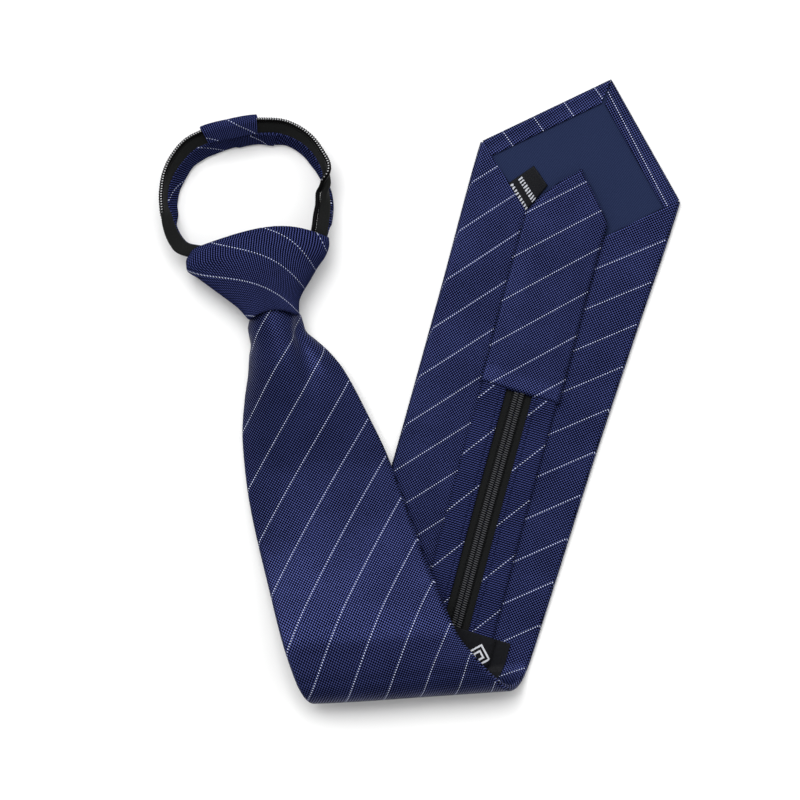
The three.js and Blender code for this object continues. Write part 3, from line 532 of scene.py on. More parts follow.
def woven(name, dark, light, cell=WEAVE_CELL, ribs=0.5, striped=False, gloss=0.02, depth=0.05):
    """Yarn-dyed polyester cloth: raised yarns one cell apart each way, with dotted pinstripes if striped.

    A yarn's height is ribs sin(2 pi y / cell) + (1 - ribs) sin(2 pi x / cell), so that ribs = 0.5 gives
    an even lattice and more than that gives ribs across the cloth. The share of the light colour is
    1.4 height + 0.1 with uneven yarns and broad clouds added, kept between 0 and 1.
    """
    material, tree, shader = new_material(name, 0.4, specular=gloss * MEAN_SHARE, tint="#929eff")
    uv, x, y = cloth_axes(tree)
    rib = add(tree, "Math", (wave(tree, y, cell), ribs), operation="MULTIPLY")
    raised = add(tree, "Math", (wave(tree, x, cell), 1.0 - ribs, rib), operation="MULTIPLY_ADD")
    yarn = add(tree, "TexNoise", {"Vector": uv, "Scale": 1.4, "Detail": 3.0, "Roughness": 0.7})
    cloud = add(tree, "TexNoise", {"Vector": uv, "Scale": 0.05, "Detail": 2.0})
    uneven = add(tree, "Math", (yarn, 0.9, -0.45), operation="MULTIPLY_ADD")
    broad = add(tree, "Math", (cloud, 0.5, -0.25), operation="MULTIPLY_ADD")
    share = add(tree, "Math", (raised, 1.4, 0.1), operation="MULTIPLY_ADD")
    share = add(tree, "Math", (share, uneven), operation="ADD")
    share = add(tree, "Math", (share, broad), operation="ADD")
    share = add(tree, "Clamp", (share,))
    colour = add(tree, "Mix", {0: share, 6: srgb(dark), 7: srgb(light)}, 2, data_type="RGBA")
    if gloss > MIRRORING:
        gleam = add(tree, "Math", (share, gloss), operation="MULTIPLY")
        tree.links.new(gleam, shader.inputs["Specular IOR Level"])
    height = add(tree, "Math", (yarn, 0.3, raised), operation="MULTIPLY_ADD")
    if striped:
        # PINGPONG is 0 at whole pitches and rises to half a pitch between them
        off = add(tree, "Math", (x, STRIPE_PITCH * EVEN_START), operation="ADD")
        off = add(tree, "Math", (off, STRIPE_PITCH / 2), operation="PINGPONG")
        along = add(tree, "Math", (y, DOT_PITCH * EVEN_START), operation="ADD")
        along = add(tree, "Math", (along, DOT_PITCH / 2), operation="PINGPONG")
        far = add(tree, "Math", (off, off), operation="MULTIPLY")
        far = add(tree, "Math", (along, along, far), operation="MULTIPLY_ADD")
        far = add(tree, "Math", (far,), operation="SQRT")
        dot = add(tree, "MapRange", (far, DOT_RADIUS * 0.75, DOT_RADIUS * 1.2, 1.0, 0.0),
                  interpolation_type="SMOOTHSTEP")
        colour = add(tree, "Mix", {0: dot, 6: colour, 7: srgb("#cfd6f0")}, 2, data_type="RGBA")
        height = add(tree, "Math", (dot, 1.2, height), operation="MULTIPLY_ADD")
    finish(tree, shader, colour, height, 0.7, depth)
    return material


def taped(name):
    """Herringbone polyester tape: ribs sin(2 pi (y + zigzag of x) / period), 0.3 of it added to noise."""
    material, tree, shader = new_material(name, 0.75, 0.02, specular=0.1)
    uv, x, y = cloth_axes(tree)
    zigzag = add(tree, "Math", (x, 500.0), operation="ADD")
    zigzag = add(tree, "Math", (zigzag, 1.1), operation="PINGPONG")
    rib = wave(tree, add(tree, "Math", (y, zigzag), operation="ADD"), TAPE_RIB)
    noise = add(tree, "TexNoise", {"Vector": uv, "Scale": 2.0, "Detail": 3.0})
    share = add(tree, "Math", (rib, 0.3, noise), operation="MULTIPLY_ADD")
    colour = add(tree, "Mix", {0: add(tree, "Clamp", (share,)), 6: srgb("#050606"), 7: srgb("#1a1b1b")}, 2,
                 data_type="RGBA")
    finish(tree, shader, colour, share, 0.6, 0.1)
    return material


def plastic(name, dark, light, highlight_from):
    """Wound nylon thread: x goes from 0 under the tape to 1 on top; from the third argument up to 1 it is
    painted light, a painted highlight on the top of each turn.
    """
    material, tree, shader = new_material(name, 0.4, specular=0.05)
    uv, x, _ = cloth_axes(tree)
    noise = add(tree, "TexNoise", {"Vector": uv, "Scale": 2.5, "Detail": 2.0})
    # painted highlight: the light colour is mixed in towards the top of each turn, where light falls
    painted_highlight = add(tree, "MapRange", (x, highlight_from, 1.0, 0.0, 1.0), interpolation_type="SMOOTHSTEP")
    colour = add(tree, "Mix", {0: painted_highlight, 6: srgb(dark), 7: srgb(light)}, 2, data_type="RGBA")
    finish(tree, shader, colour, noise, 0.15, 0.05)
    return material


MOTIF_ASIDE = 11.8  # the keeper's woven mark lies this far to the right of the tail's middle
MOTIF_UP = 1.9  # and this far up the tail from the keeper's middle
MOTIF_RINGS = (4.4, 2.0)  # reach of the mark's outer and inner diamond
MOTIF_LINE = 0.5  # half the width of their lines
TICKS_ASIDE = -2.8  # middle of the care label's two rows of ticks
TICKS_APART = 2.4  # each row from that middle
TICKS_REACH = 1.05  # half a row's height
TICKS_END = 4.2  # half a row's length


def satin(name, marks):
    """Woven polyester satin: a fine slanting float sin(2 pi (2 x + y) / period) and a light woven mark.

    marks names the mark: "lozenge" is a small open diamond on the keeper, |x| + |y| near two values,
    "ticks" two rows of short dashes on the care label. Cloth coordinates are zero in the label's middle.
    """
    material, tree, shader = new_material(name, 0.38, 0.02, specular=0.1)
    uv, x, y = cloth_axes(tree)
    slant = add(tree, "Math", (x, 2.0, y), operation="MULTIPLY_ADD")
    raised = wave(tree, slant, SATIN_FLOAT)
    noise = add(tree, "TexNoise", {"Vector": uv, "Scale": 0.8, "Detail": 3.0})
    ground = add(tree, "Mix", {0: noise, 6: srgb("#06070a"), 7: srgb("#121318")}, 2, data_type="RGBA")
    # COMPARE is 1 where the first value lies within the third of the second
    if marks == "lozenge":
        beside = add(tree, "Math", (x, MOTIF_ASIDE), operation="SUBTRACT")
        beside = add(tree, "Math", (beside,), operation="ABSOLUTE")
        above = add(tree, "Math", (y, MOTIF_UP), operation="SUBTRACT")
        above = add(tree, "Math", (above,), operation="ABSOLUTE")
        size = add(tree, "Math", (beside, above), operation="ADD")
        rings = [add(tree, "Math", (size, ring, MOTIF_LINE), operation="COMPARE") for ring in MOTIF_RINGS]
        mark = add(tree, "Math", rings, operation="MAXIMUM")
        tint = "#dfe1e8"
    else:
        from_middle = add(tree, "Math", (x, TICKS_ASIDE), operation="SUBTRACT")
        from_middle = add(tree, "Math", (from_middle,), operation="ABSOLUTE")
        row = add(tree, "Math", (from_middle, TICKS_APART, TICKS_REACH), operation="COMPARE")
        broken = add(tree, "TexNoise", {"Vector": uv, "Scale": 1.1, "Detail": 0.0})
        tick = add(tree, "Math", (broken, 3.0, wave(tree, y, 0.95)), operation="MULTIPLY_ADD")
        tick = add(tree, "Math", (tick, 1.5), operation="GREATER_THAN")
        inside = add(tree, "Math", (y, 0.0, TICKS_END), operation="COMPARE")
        mark = add(tree, "Math", (row, tick), operation="MULTIPLY")
        mark = add(tree, "Math", (mark, inside), operation="MULTIPLY")
        tint = "#c9ccd4"
    threads = wave(tree, add(tree, "Math", (x, y), operation="ADD"), 0.5)
    threads = add(tree, "Math", (threads, 0.2, 0.8), operation="MULTIPLY_ADD")
    share = add(tree, "Math", (mark, threads), operation="MULTIPLY")
    colour = add(tree, "Mix", {0: share, 6: ground, 7: srgb(tint)}, 2, data_type="RGBA")
    height = add(tree, "Math", (raised, mark), operation="ADD")
    finish(tree, shader, colour, height, 0.4, 0.05)
    return material


def metal(name):
    """Die-cast zinc: two greys mixed by noise that is fixed to the piece."""
    material, tree, shader = new_material(name, 0.35, metallic=1.0)
    spot = add(tree, "TexCoord", output="Object")
    noise = add(tree, "TexNoise", {"Vector": spot, "Scale": 700.0, "Detail": 4.0})
    colour = add(tree, "Mix", {0: noise, 6: srgb("#5d6064"), 7: srgb("#8b8e92")}, 2, data_type="RGBA")
    finish(tree, shader, colour, noise, 0.1, 0.05)
    return material


# Jacquard polyester, blue yarns over a near-black ground: the raised yarns gleam blue and the gaps
# between them stay black, so the cloth looks navy with a lively grain, and lighter where it faces the light.
navy = woven("navy_weave", "#020308", "#2d345f", striped=True, gloss=1.0, depth=0.035)
# The same cloth where its cross ribs stand up, on the strips and the knot: matt, with dark furrows.
ribbed = woven("navy_ribs", "#020308", "#3a4173", ribs=0.66, striped=True, gloss=0.0, depth=0.08)
# Plain-woven lining of one colour: finer and flatter yarns, so an even and matt blue.
lining_cloth = woven("navy_lining", "#1d2540", "#2a3350", cell=LINING_CELL, ribs=0.8, depth=0.05)
# Herringbone tape, woven of dull black yarn: the darkest flat part, with faint ribs.
black_tape = taped("black_tape")
# Wound nylon thread, black, with the top of each turn painted lighter as a painted highlight; the gaps stay
# black.
nylon = plastic("black_coil", "#010102", "#454649", 0.5)
# The same thread on the open halves, seen from the side: small pale points painted where each turn comes
# over, painted highlights.
neck_nylon = plastic("neck_coil", "#030304", "#cfd0d3", 0.86)
# Spun polyester sewing thread in the cloth's colour and in the tape's: twisted, without gloss.
thread = woven("stitch_thread", "#10142c", "#1d2447", cell=THREAD_CELL, depth=0.03)
black_thread = woven("zip_thread", "#0b0c0d", "#202124", cell=THREAD_CELL, depth=0.03)
# Satin ribbon with long floats: smooth and near-black, with a light mark woven in.
keeper_satin = satin("keeper_satin", "lozenge")
care_satin = satin("care_satin", "ticks")
slider_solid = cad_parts["zip_slider"].data
slider_solid.materials.clear()
# Die-cast zinc, tumbled: a mid grey that mirrors softly.
slider_solid.materials.append(metal("slider_metal"))

# The blade: one tube of cloth, face and back flaps, with rounded edges and a turned-in end

SEAM_ROLL = 0.45  # radius to which the cloth's cut end is turned in
FLAP_SEAM = 0.5  # depth of the furrow where the two back flaps meet
SHAPING_FROM = 330.0  # before here all columns run level with each other
THROAT_END = NEAR_ARM * 0.4
ROLL_REACH = BLADE_WIDTH * 0.27


THROAT_GROOVE = 2.6
WAVE_HEIGHT = 0.22


def blade_dents(across, along):
    """How far the face lies below its plain form: the groove beside the throat and soft waves.

    The groove is THROAT_GROOVE exp(-(off / width)^2), off its own slanting line; a wave is a sine
    across the blade times a sine along it.
    """
    line = 11.2 - 0.12 * along
    fade = smooth(along, -2, 9) * (1 - smooth(along, 17, 48))
    width = 2.9 + 0.09 * np.clip(along, 0, 60)
    groove = THROAT_GROOVE * fade * np.exp(-((across - line) / width) ** 2)
    waves = WAVE_HEIGHT * np.sin(across / 9 + along / 26) * np.sin(along / 19 - across / 31)
    return groove + waves * smooth(along, 20, 60) * (1 - smooth(along, 130, 150))


def make_blade():
    """The folded tube: strip_ring's outline at each row, with the end's cut edge turned in a half circle.

    Past SHAPING_FROM the rows spread, so that the face ends in its point and the back in the flaps'
    notch: along = base + (base - SHAPING_FROM) (stretch - 1).
    """
    rows = spaced((-BLADE_TUCK, 1.3), (THROAT_END, 1.6), (NEAR_ARM - ROLL_REACH, 0.85),
                  (FAR_ARM_START + ROLL_REACH, 1.6), (BODY_LENGTH, 0))
    x, reach, depth = strip_ring(116, 12)
    edge = BLADE_THICKNESS / 2
    back = depth > 0.99
    side = np.abs(x)
    end = np.where(depth < 0.01, BLADE_LENGTH - BLADE_POINT * side - 0.9,
                   np.where(back, BODY_LENGTH - FLAP_DEPTH * (1 - side), BODY_LENGTH))
    turn_in = np.linspace(0, np.pi, 9)[1:]
    base = np.concatenate([rows, np.full(len(turn_in), BODY_LENGTH)])
    fold = np.concatenate([np.zeros(len(rows)), turn_in])[:, None]
    stretch = (end - SEAM_ROLL - SHAPING_FROM) / (BODY_LENGTH - SHAPING_FROM)
    along = base[:, None] + np.clip(base - SHAPING_FROM, 0, None)[:, None] * (stretch - 1)
    width = np.where(x < 0, half_left(along), half_right(along))
    across = x * (width - edge) + reach * edge
    inward = SEAM_ROLL * (1 - np.cos(fold))
    normal_deep = np.where(depth < 0.01, -1.0, np.where(back, 1.0, 2 * depth - 1))
    across = across - inward * reach
    deep = BLADE_THICKNESS * depth - inward * normal_deep
    deep = deep + blade_dents(across, along) * (depth < 0.01)
    deep = deep - FLAP_SEAM * np.exp(-(across / 0.9) ** 2) * back
    folded = along + SEAM_ROLL * np.sin(fold)

    flap = np.where(x < 0, -2 * half_left(along) - across, 2 * half_right(along) - across)
    share = np.clip(depth, 0, 1)
    u = np.where(back, flap, np.where(depth < 0.01, across, across + share * (flap - across)))
    face = phase(u, folded, FACE) + 0.5 * smooth(folded, 150, 270)
    flaps = np.where(x < 0, phase(u, folded, LEFT_FLAP), phase(u, folded, RIGHT_FLAP))
    stripes = face + share * (flaps - face)
    run = (BIAS[0] * folded - BIAS[1] * u) / np.hypot(*BIAS)
    uv = np.stack([stripes * STRIPE_PITCH, run], -1)
    made = grid_mesh("blade_cloth", on_blade(across, folded, deep),
                     np.concatenate([uv, uv[:, :1]], 1), around=True, caps=(0,))
    place(made, navy, "navy_weave", ["front_blade"],
          flat=(BLADE_WIDTH * 1e-3, BLADE_LENGTH * 1e-3), held="folded")


make_blade()


HEM_ROLL = 1.3  # radius of the hem's outer edge
HEM_LIP = 0.4  # radius of its inner edge
HEM_FACE = 2.7  # depth of its flat side


def make_hem(name, sign, half, bias):
    """Turned-in cloth along one edge of the point: closed outline swept from the shoulder to the point.

    Its pattern runs on by the outline's girth, so that it isn't stretched on the rounded edge.
    """
    t = np.linspace(0, 1, 90)[:, None]
    corner = np.array([half, BODY_LENGTH])
    point = np.array([0.0, BLADE_LENGTH])
    edge = point - corner
    edge /= np.linalg.norm(edge)
    inward = np.array([-sign * edge[1], sign * edge[0]])
    turn = np.linspace(-np.pi / 2, np.pi / 2, 14)
    round_x = HEM_ROLL - HEM_ROLL * np.cos(turn)
    round_d = HEM_FACE - HEM_ROLL + HEM_ROLL * np.sin(turn)
    top_x = np.linspace(HEM_ROLL, HEM_WIDTH - HEM_LIP, 16)[1:]
    past = top_x - HEM_ROLL
    top_d = HEM_FACE - 0.1 * past / HEM_WIDTH - 0.08 * np.sin(np.pi * past / 4.3)
    lip = np.linspace(np.pi / 2, -np.pi / 2, 8)[1:]
    lip_x = HEM_WIDTH - HEM_LIP + HEM_LIP * np.cos(lip)
    lip_d = top_d[-1] - HEM_LIP + HEM_LIP * np.sin(lip)
    x = np.concatenate([round_x, top_x, lip_x, [2.0]])
    deep = np.concatenate([round_d, top_d, lip_d, [1.7]])
    length = np.linalg.norm(point - corner)
    mitre = x * abs(inward[1] / inward[0]) if abs(inward[0]) > 1e-6 else 0 * x
    start = -x * 0.35 + 1.0
    run = start + (length - mitre - start) * t
    places = corner + run[..., None] * edge + x[None, :, None] * inward
    across, along = places[..., 0], places[..., 1]
    girth = np.cumsum(np.hypot(np.diff(x, prepend=x[0]), np.diff(deep, prepend=deep[0])))
    girth = girth - girth[len(round_x) - 1] + round_x[-1]
    cloth = corner + run[..., None] * edge + girth[None, :, None] * inward
    uv = bias_cloth(cloth[..., 0], cloth[..., 1], bias)
    made = grid_mesh(name, on_blade(across, along, np.broadcast_to(deep, across.shape)),
                     np.concatenate([uv, uv[:, :1]], 1), around=True, caps=(0, -1))
    place(made, navy, "navy_weave", flat=(0.010, length * 1e-3), held="folded",
          rests_on=["blade_cloth"])


SHOULDER_RIGHT = float(half_right(BODY_LENGTH))
make_hem("hem_left", -1, -float(half_left(BODY_LENGTH)), LEFT_HEM)
make_hem("hem_right", 1, SHOULDER_RIGHT, RIGHT_HEM)


def make_lining():
    """Plain lining from under the flaps to under the hems, a little fuller in its middle."""
    u, v = np.meshgrid(np.linspace(-1, 1, 90), np.linspace(0, 1, 90))
    reach = SHOULDER_RIGHT - 3.0
    top = BLADE_LENGTH - 3.5 - (BLADE_POINT - 1.0) * np.abs(u)
    bottom = BODY_LENGTH - FLAP_DEPTH - 6 + (FLAP_DEPTH - 2) * np.abs(u)
    along = bottom + (top - bottom) * v
    across = reach * u
    fuller = (1 - np.abs(u)) * np.sin(np.pi * v)
    deep = 1.75 + 0.3 * np.sqrt(np.clip(fuller, 0, 1)) + 0.05 * np.sin(across / 5) * fuller
    uv = np.stack([across - along, across + along], -1) * np.sqrt(0.5)
    made = grid_mesh("tip_lining_cloth", on_blade(across, along, deep), uv)
    place(made, lining_cloth, "navy_lining", ["tip_lining"], flat=(0.076, 0.085),
          area=0.0031, held="laid", rests_on=["blade_cloth"])


make_lining()


CARE_LABEL_SHEET = 0.22
CARE_LABEL_CORNERS = ((-28.3, 375.0), (-19.6, 385.9), (-12.0, 379.9), (-18.2, 365.6))  # across, along


def make_care_label():
    """Small satin label along the left flap's edge, a closed thin sheet with a slight curl."""
    corners = np.array(CARE_LABEL_CORNERS)
    count = 36
    s, t = np.meshgrid(np.linspace(0, 1, count), np.linspace(0, 1, count // 2), indexing="ij")
    spot = (corners[0] * ((1 - s) * (1 - t))[..., None] + corners[1] * (s * (1 - t))[..., None]
            + corners[2] * (s * t)[..., None] + corners[3] * ((1 - s) * t)[..., None])
    lift = 2.35 + 0.25 * s ** 2 + 0.1 * np.sin(3 * t)
    thick = CARE_LABEL_SHEET * np.sqrt(np.clip(4 * s * (1 - s) * 8, 0, 1))
    under = on_blade(spot[..., 0], spot[..., 1], lift)
    over = on_blade(spot[..., 0], spot[..., 1], lift + thick)
    points = np.concatenate([under, over[:, ::-1]], 1)
    flat_x = np.concatenate([(s - 0.5) * CARE_LABEL_LENGTH, (s - 0.5)[:, ::-1] * CARE_LABEL_LENGTH], 1)
    flat_y = np.concatenate([(t - 0.5) * CARE_LABEL_WIDTH, (t - 0.5)[:, ::-1] * CARE_LABEL_WIDTH], 1)
    uv = np.stack([wrap(flat_x), wrap(flat_y)], -1)
    made = grid_mesh("care_label_satin", points, uv, around=True)
    place(made, care_satin, "black_satin", ["care_label"],
          flat=(CARE_LABEL_WIDTH * 1.15e-3, CARE_LABEL_LENGTH * 1e-3), held="laid",
          rests_on=["tip_lining_cloth"])


make_care_label()

# The tail: closed panel, two strips, zip tapes, coil and stitches

TAIL_TOP = BLADE_THICKNESS + LAYER_GAP
TAIL_TIP = BLADE_LENGTH - TAIL_END
TAIL_SEAM = TAIL_TIP - TAIL_PANEL
COIL_TOP = TAPE_THICKNESS + GAP
STRIP_INNER = TAPE_WIDTH + GAP
STRIP_OUTER = STRIP_INNER + STRIP_WIDTH
STITCH_IN = 2.0  # stitch line from a strip's inner edge
STITCH_SHAPE = np.cos(np.linspace(-1, 1, 7) * 1.5)  # how a stitch thins towards both of its ends
SEAM_RISE = 0.7  # by which the closed panel's end stands up at its seam
zipped = spaced((-BLADE_TUCK, 1.6), (THROAT_END, 2.2), (NEAR_ARM - ROLL_REACH, 1.0),
                (FAR_ARM_START + ROLL_REACH, 2.2), (TAIL_SEAM + 2.0, 0))
ZIP_LENGTH = TAIL_SEAM + BLADE_TUCK


def make_tail_panel():
    """Closed end of the tail: a strip that narrows to its point, domed across and raised at its seam."""
    left = curve(TAIL_POINT_OUTLINE, "back", "left")
    right = curve(TAIL_POINT_OUTLINE, "back", "right")
    stations = spaced((TAIL_SEAM, 0.9), (TAIL_TIP - 26, 0.5), (TAIL_TIP, 0))

    def dome(across, along):
        width = np.abs(across - tail_middle(along)) / (TAIL_WIDTH / 2)
        from_seam = along - TAIL_SEAM
        rise = SEAM_RISE * smooth(from_seam, 0.05, 0.9) * (1 - smooth(from_seam, 1, 8))
        return 0.35 * smooth(width, 0.45, 1.0) - rise

    made = closed_strip(
        "tail_panel_cloth", on_blade, stations,
        lambda v: tail_middle(v) - TAIL_WIDTH * left((TAIL_TIP - v) / TAIL_POINT),
        lambda v: tail_middle(v) + TAIL_WIDTH * right((TAIL_TIP - v) / TAIL_POINT),
        TAIL_TOP, TAIL_THICKNESS + GAP,
        lambda u, v, girth: bias_cloth(u - tail_middle(v) + girth, v, TAIL_BIAS),
        flats=60, arc=12, groove=dome)
    place(made, navy, "navy_weave", ["tail_panel"], flat=(0.033, TAIL_PANEL * 1e-3),
          held="folded", rests_on=["blade_cloth"])


make_tail_panel()


def make_strip(name, sign, bias):
    """Cloth strip beside the zip, grooved under its row of stitches by 0.35 exp(-(off / 0.5)^2)."""
    inner, outer = sign * STRIP_INNER, sign * STRIP_OUTER

    def groove(aside, along):
        off = np.abs(aside) - STRIP_INNER
        return 0.35 * np.exp(-((off - STITCH_IN) / 0.5) ** 2) + 0.25 * smooth(off, 6.5, STRIP_WIDTH)

    made = closed_strip(
        f"tail_strip_{name}_cloth", on_tail, zipped,
        lambda v: np.full(v.shape, min(inner, outer)), lambda v: np.full(v.shape, max(inner, outer)),
        TAIL_TOP, TAIL_THICKNESS,
        lambda u, v, girth: np.stack([phase(u + girth, v, bias) * STRIPE_PITCH, v + 0 * u], -1),
        flats=30, arc=10, groove=groove)
    v = np.arange(-BLADE_TUCK + 2, TAIL_SEAM - 2, 2.3)[:, None] + np.linspace(-0.85, 0.85, 7)
    bow = 0.16 * np.cos(np.linspace(-1, 1, 7) * np.pi / 2)
    paths = on_tail(sign * (STRIP_INNER + STITCH_IN), v, TAIL_TOP + TAIL_THICKNESS - 0.32 + bow)
    stitches = tube(f"tail_stitches_{name}", paths, 0.2 * STITCH_SHAPE, (0.1, 0.2, 1.0))
    place(stitches, thread, "navy_weave")
    place(made, ribbed, "navy_weave", [f"tail_strip_{name}"],
          flat=(STRIP_WIDTH * 1e-3, ZIP_LENGTH * 1e-3), held="folded", rests_on=["blade_cloth"],
          with_pieces=[stitches])


make_strip("left", -1, STRIP_LEFT_BIAS)
make_strip("right", 1, STRIP_RIGHT_BIAS)

TOOTH_PITCH = 0.9
TAIL_THREAD = 0.27  # radius of the coil's thread where it lies closed
NECK_THREAD = 0.2  # and on the open halves
NECK_CORE = 0.92  # radius of the cord inside the open coils
TAPE_HIDDEN = 10.4  # the tape reaches this far from the zip's middle, inside the strip


def helix(lay, first, last, centre, reach, lift, level, shift):
    """A flattened coil along the zip, laid by lay(aside, along, up), and the angle of each of its points.

    It makes one turn for each tooth: aside = centre + reach tanh(1.6 cos(angle)) / tanh(1.6) and
    up = level + lift sin(angle).
    """
    turns = (last - first) / TOOTH_PITCH
    t = np.linspace(0, turns, int(turns * 12))
    angle = 2 * np.pi * (t + shift)
    square = np.tanh(1.6 * np.cos(angle)) / np.tanh(1.6)
    path = lay(centre + reach * square, first + t * TOOTH_PITCH, level + lift * np.sin(angle))
    return path, angle


def make_tail_zip():
    """Both halves of the closed zip: tape, coil and sewing, with the coils half a turn out of step."""
    for name, sign in (("left", -1), ("right", 1)):
        edges = sorted((sign * 0.2, sign * TAPE_HIDDEN))
        tape = closed_strip(
            f"tail_tape_{name}_cloth", on_tail, zipped,
            lambda v, e=edges: np.full(v.shape, e[0]), lambda v, e=edges: np.full(v.shape, e[1]),
            TAIL_TOP, TAPE_THICKNESS, lambda u, v, girth: np.stack([u + 0 * v, v + 0 * u], -1),
            flats=16, arc=4)
        coil_deep = TAIL_TOP + COIL_TOP + COIL_THICKNESS / 2
        path, angle = helix(on_tail, -BLADE_TUCK, TAIL_SEAM + 1.0, sign * 1.1, 1.0, 0.6, coil_deep,
                            0.0 if sign < 0 else 0.5)
        # mark is 1 on the top of each turn, where the coil's material paints its highlight
        teeth = tube(f"tail_teeth_{name}", path[None], TAIL_THREAD, on_line_direction(path), sides=5,
                     mark=np.sin(angle))
        place(teeth, nylon, "black_coil", ["tail_coil"] if sign < 0 else ())
        seam = np.arange(-BLADE_TUCK + 1, TAIL_SEAM - 1, 1.8)[:, None] + np.linspace(-0.7, 0.7, 5)
        rows = on_tail(sign * 2.75, seam, TAIL_TOP + TAPE_THICKNESS + 0.08)
        sewn = tube(f"tail_zip_sewing_{name}", rows, 0.16 * np.cos(np.linspace(-1, 1, 5) * 1.45),
                    (0.1, 0.2, 1.0), 5)
        place(sewn, black_thread, "black_tape")
        place(tape, black_tape, "black_tape", [f"tail_tape_{name}"],
              flat=(TAPE_HIDDEN * 1e-3, ZIP_LENGTH * 1e-3), held="laid", rests_on=["blade_cloth"],
              with_pieces=[teeth, sewn])


def on_line_direction(path):
    """Direction of a coil's own length at each of its points, smoothed over a few turns."""
    span = 24
    padded = np.pad(path, ((span, span), (0, 0)), mode="reflect", reflect_type="odd")
    direction = padded[2 * span:] - padded[:-2 * span]
    return (direction / np.linalg.norm(direction, axis=-1, keepdims=True))[None]


make_tail_zip()


def offset_ring(path, thickness):
    """Closed outline of a sheet of this thickness round a middle line (points, 2), with its run."""
    tangent = np.gradient(path, axis=0)
    tangent /= np.linalg.norm(tangent, axis=1, keepdims=True)
    normal = np.stack([-tangent[:, 1], tangent[:, 0]], -1)
    run = np.concatenate([[0], np.cumsum(np.linalg.norm(np.diff(path, axis=0), axis=1))])
    ring = np.concatenate([path + normal * thickness / 2, (path - normal * thickness / 2)[::-1]])
    return ring, np.concatenate([run, run[::-1]])


def rounded_path(corners, step, blur):
    """Evenly spaced points along a line of corners, with the corners rounded off."""
    corners = np.array(corners, float)
    run = np.concatenate([[0], np.cumsum(np.linalg.norm(np.diff(corners, axis=0), axis=1))])
    at = np.linspace(0, run[-1], int(run[-1] / step) + 1)
    line = np.stack([np.interp(at, run, corners[:, i]) for i in (0, 1)], -1)
    width = int(blur / step)
    weight = np.hanning(2 * width + 3)[1:-1]
    weight /= weight.sum()
    held = np.pad(line, ((width, width), (0, 0)), mode="reflect", reflect_type="odd")
    return np.stack([np.convolve(held[:, i], weight, "valid") for i in (0, 1)], -1)


def make_keeper():
    """Satin loop across the tail, from one foot up over strips and coil to the other foot."""
    foot = BLADE_THICKNESS + LAYER_GAP + KEEPER_THICKNESS / 2
    back = TAIL_TOP + max(TAIL_THICKNESS, COIL_TOP + COIL_THICKNESS) + GAP + KEEPER_THICKNESS / 2
    side = STRIP_OUTER + 2 * GAP + KEEPER_THICKNESS / 2
    toe = side + KEEPER_FOOT
    path = rounded_path(
        [(-toe, foot - 0.15), (-side - 0.8, foot), (-side, foot + 0.8), (-side, back - 0.9),
         (-side + 1.2, back), (-3.5, back + 0.05), (3.5, back + 0.05), (side - 1.2, back),
         (side, back - 0.9), (side, foot + 0.8), (side + 0.8, foot), (toe, foot - 0.15)], 0.3, 1.0)
    ring, run = offset_ring(path, KEEPER_SHEET)
    reach = KEEPER_LENGTH / 2
    rows, keep = end_rows(np.linspace(KEEPER_AT - reach, KEEPER_AT + reach, 44), 0.22)
    middle = np.concatenate([path, path[::-1]])
    x = middle[:, 0] + (ring - middle)[:, 0] * keep[:, None]
    deep = middle[:, 1] + (ring - middle)[:, 1] * keep[:, None]
    along = np.broadcast_to(rows[:, None], x.shape)
    points = on_blade(tail_middle(along) + x, along, deep)
    uv = np.stack([np.broadcast_to(wrap(run - run.max() / 2), (len(rows), len(run) + 1)),
                   np.broadcast_to((rows - KEEPER_AT)[:, None], (len(rows), len(run) + 1))], -1)
    made = grid_mesh("keeper_satin_loop", points, uv, around=True)
    place(made, keeper_satin, "black_satin", ["keeper_loop"],
          flat=(KEEPER_LENGTH * 1e-3, run.max() * 1e-3), held="stretched", rests_on=["blade_cloth"])


make_keeper()

# The knot: a hollow wrap of cloth, outside and inside, with rolled rims

knot_shift = (KNOT_ASIDE * np.cos(CREASE_TURN), KNOT_ASIDE * np.sin(CREASE_TURN), 0)
hem_spot = on_blade(0.0, 0.0, 0.0) - knot_shift
knot_across = np.array([np.cos(KNOT_TURN), np.sin(KNOT_TURN), 0.0])
knot_up = np.array([-np.sin(KNOT_TURN), np.cos(KNOT_TURN), 0.0])
knot_curves = {name: curve(KNOT_RINGS, "along", name) for name in KNOT_RINGS if name != "along"}


def in_knot(across, up, z):
    """A place given in the knot's own frame, turned by KNOT_TURN: across, up towards the neck, and z."""
    across, up, z = np.broadcast_arrays(across, up, z)
    spot = hem_spot * (1, 1, 0) + across[..., None] * knot_across + up[..., None] * knot_up
    return spot + np.stack([0 * z, 0 * z, z], -1)


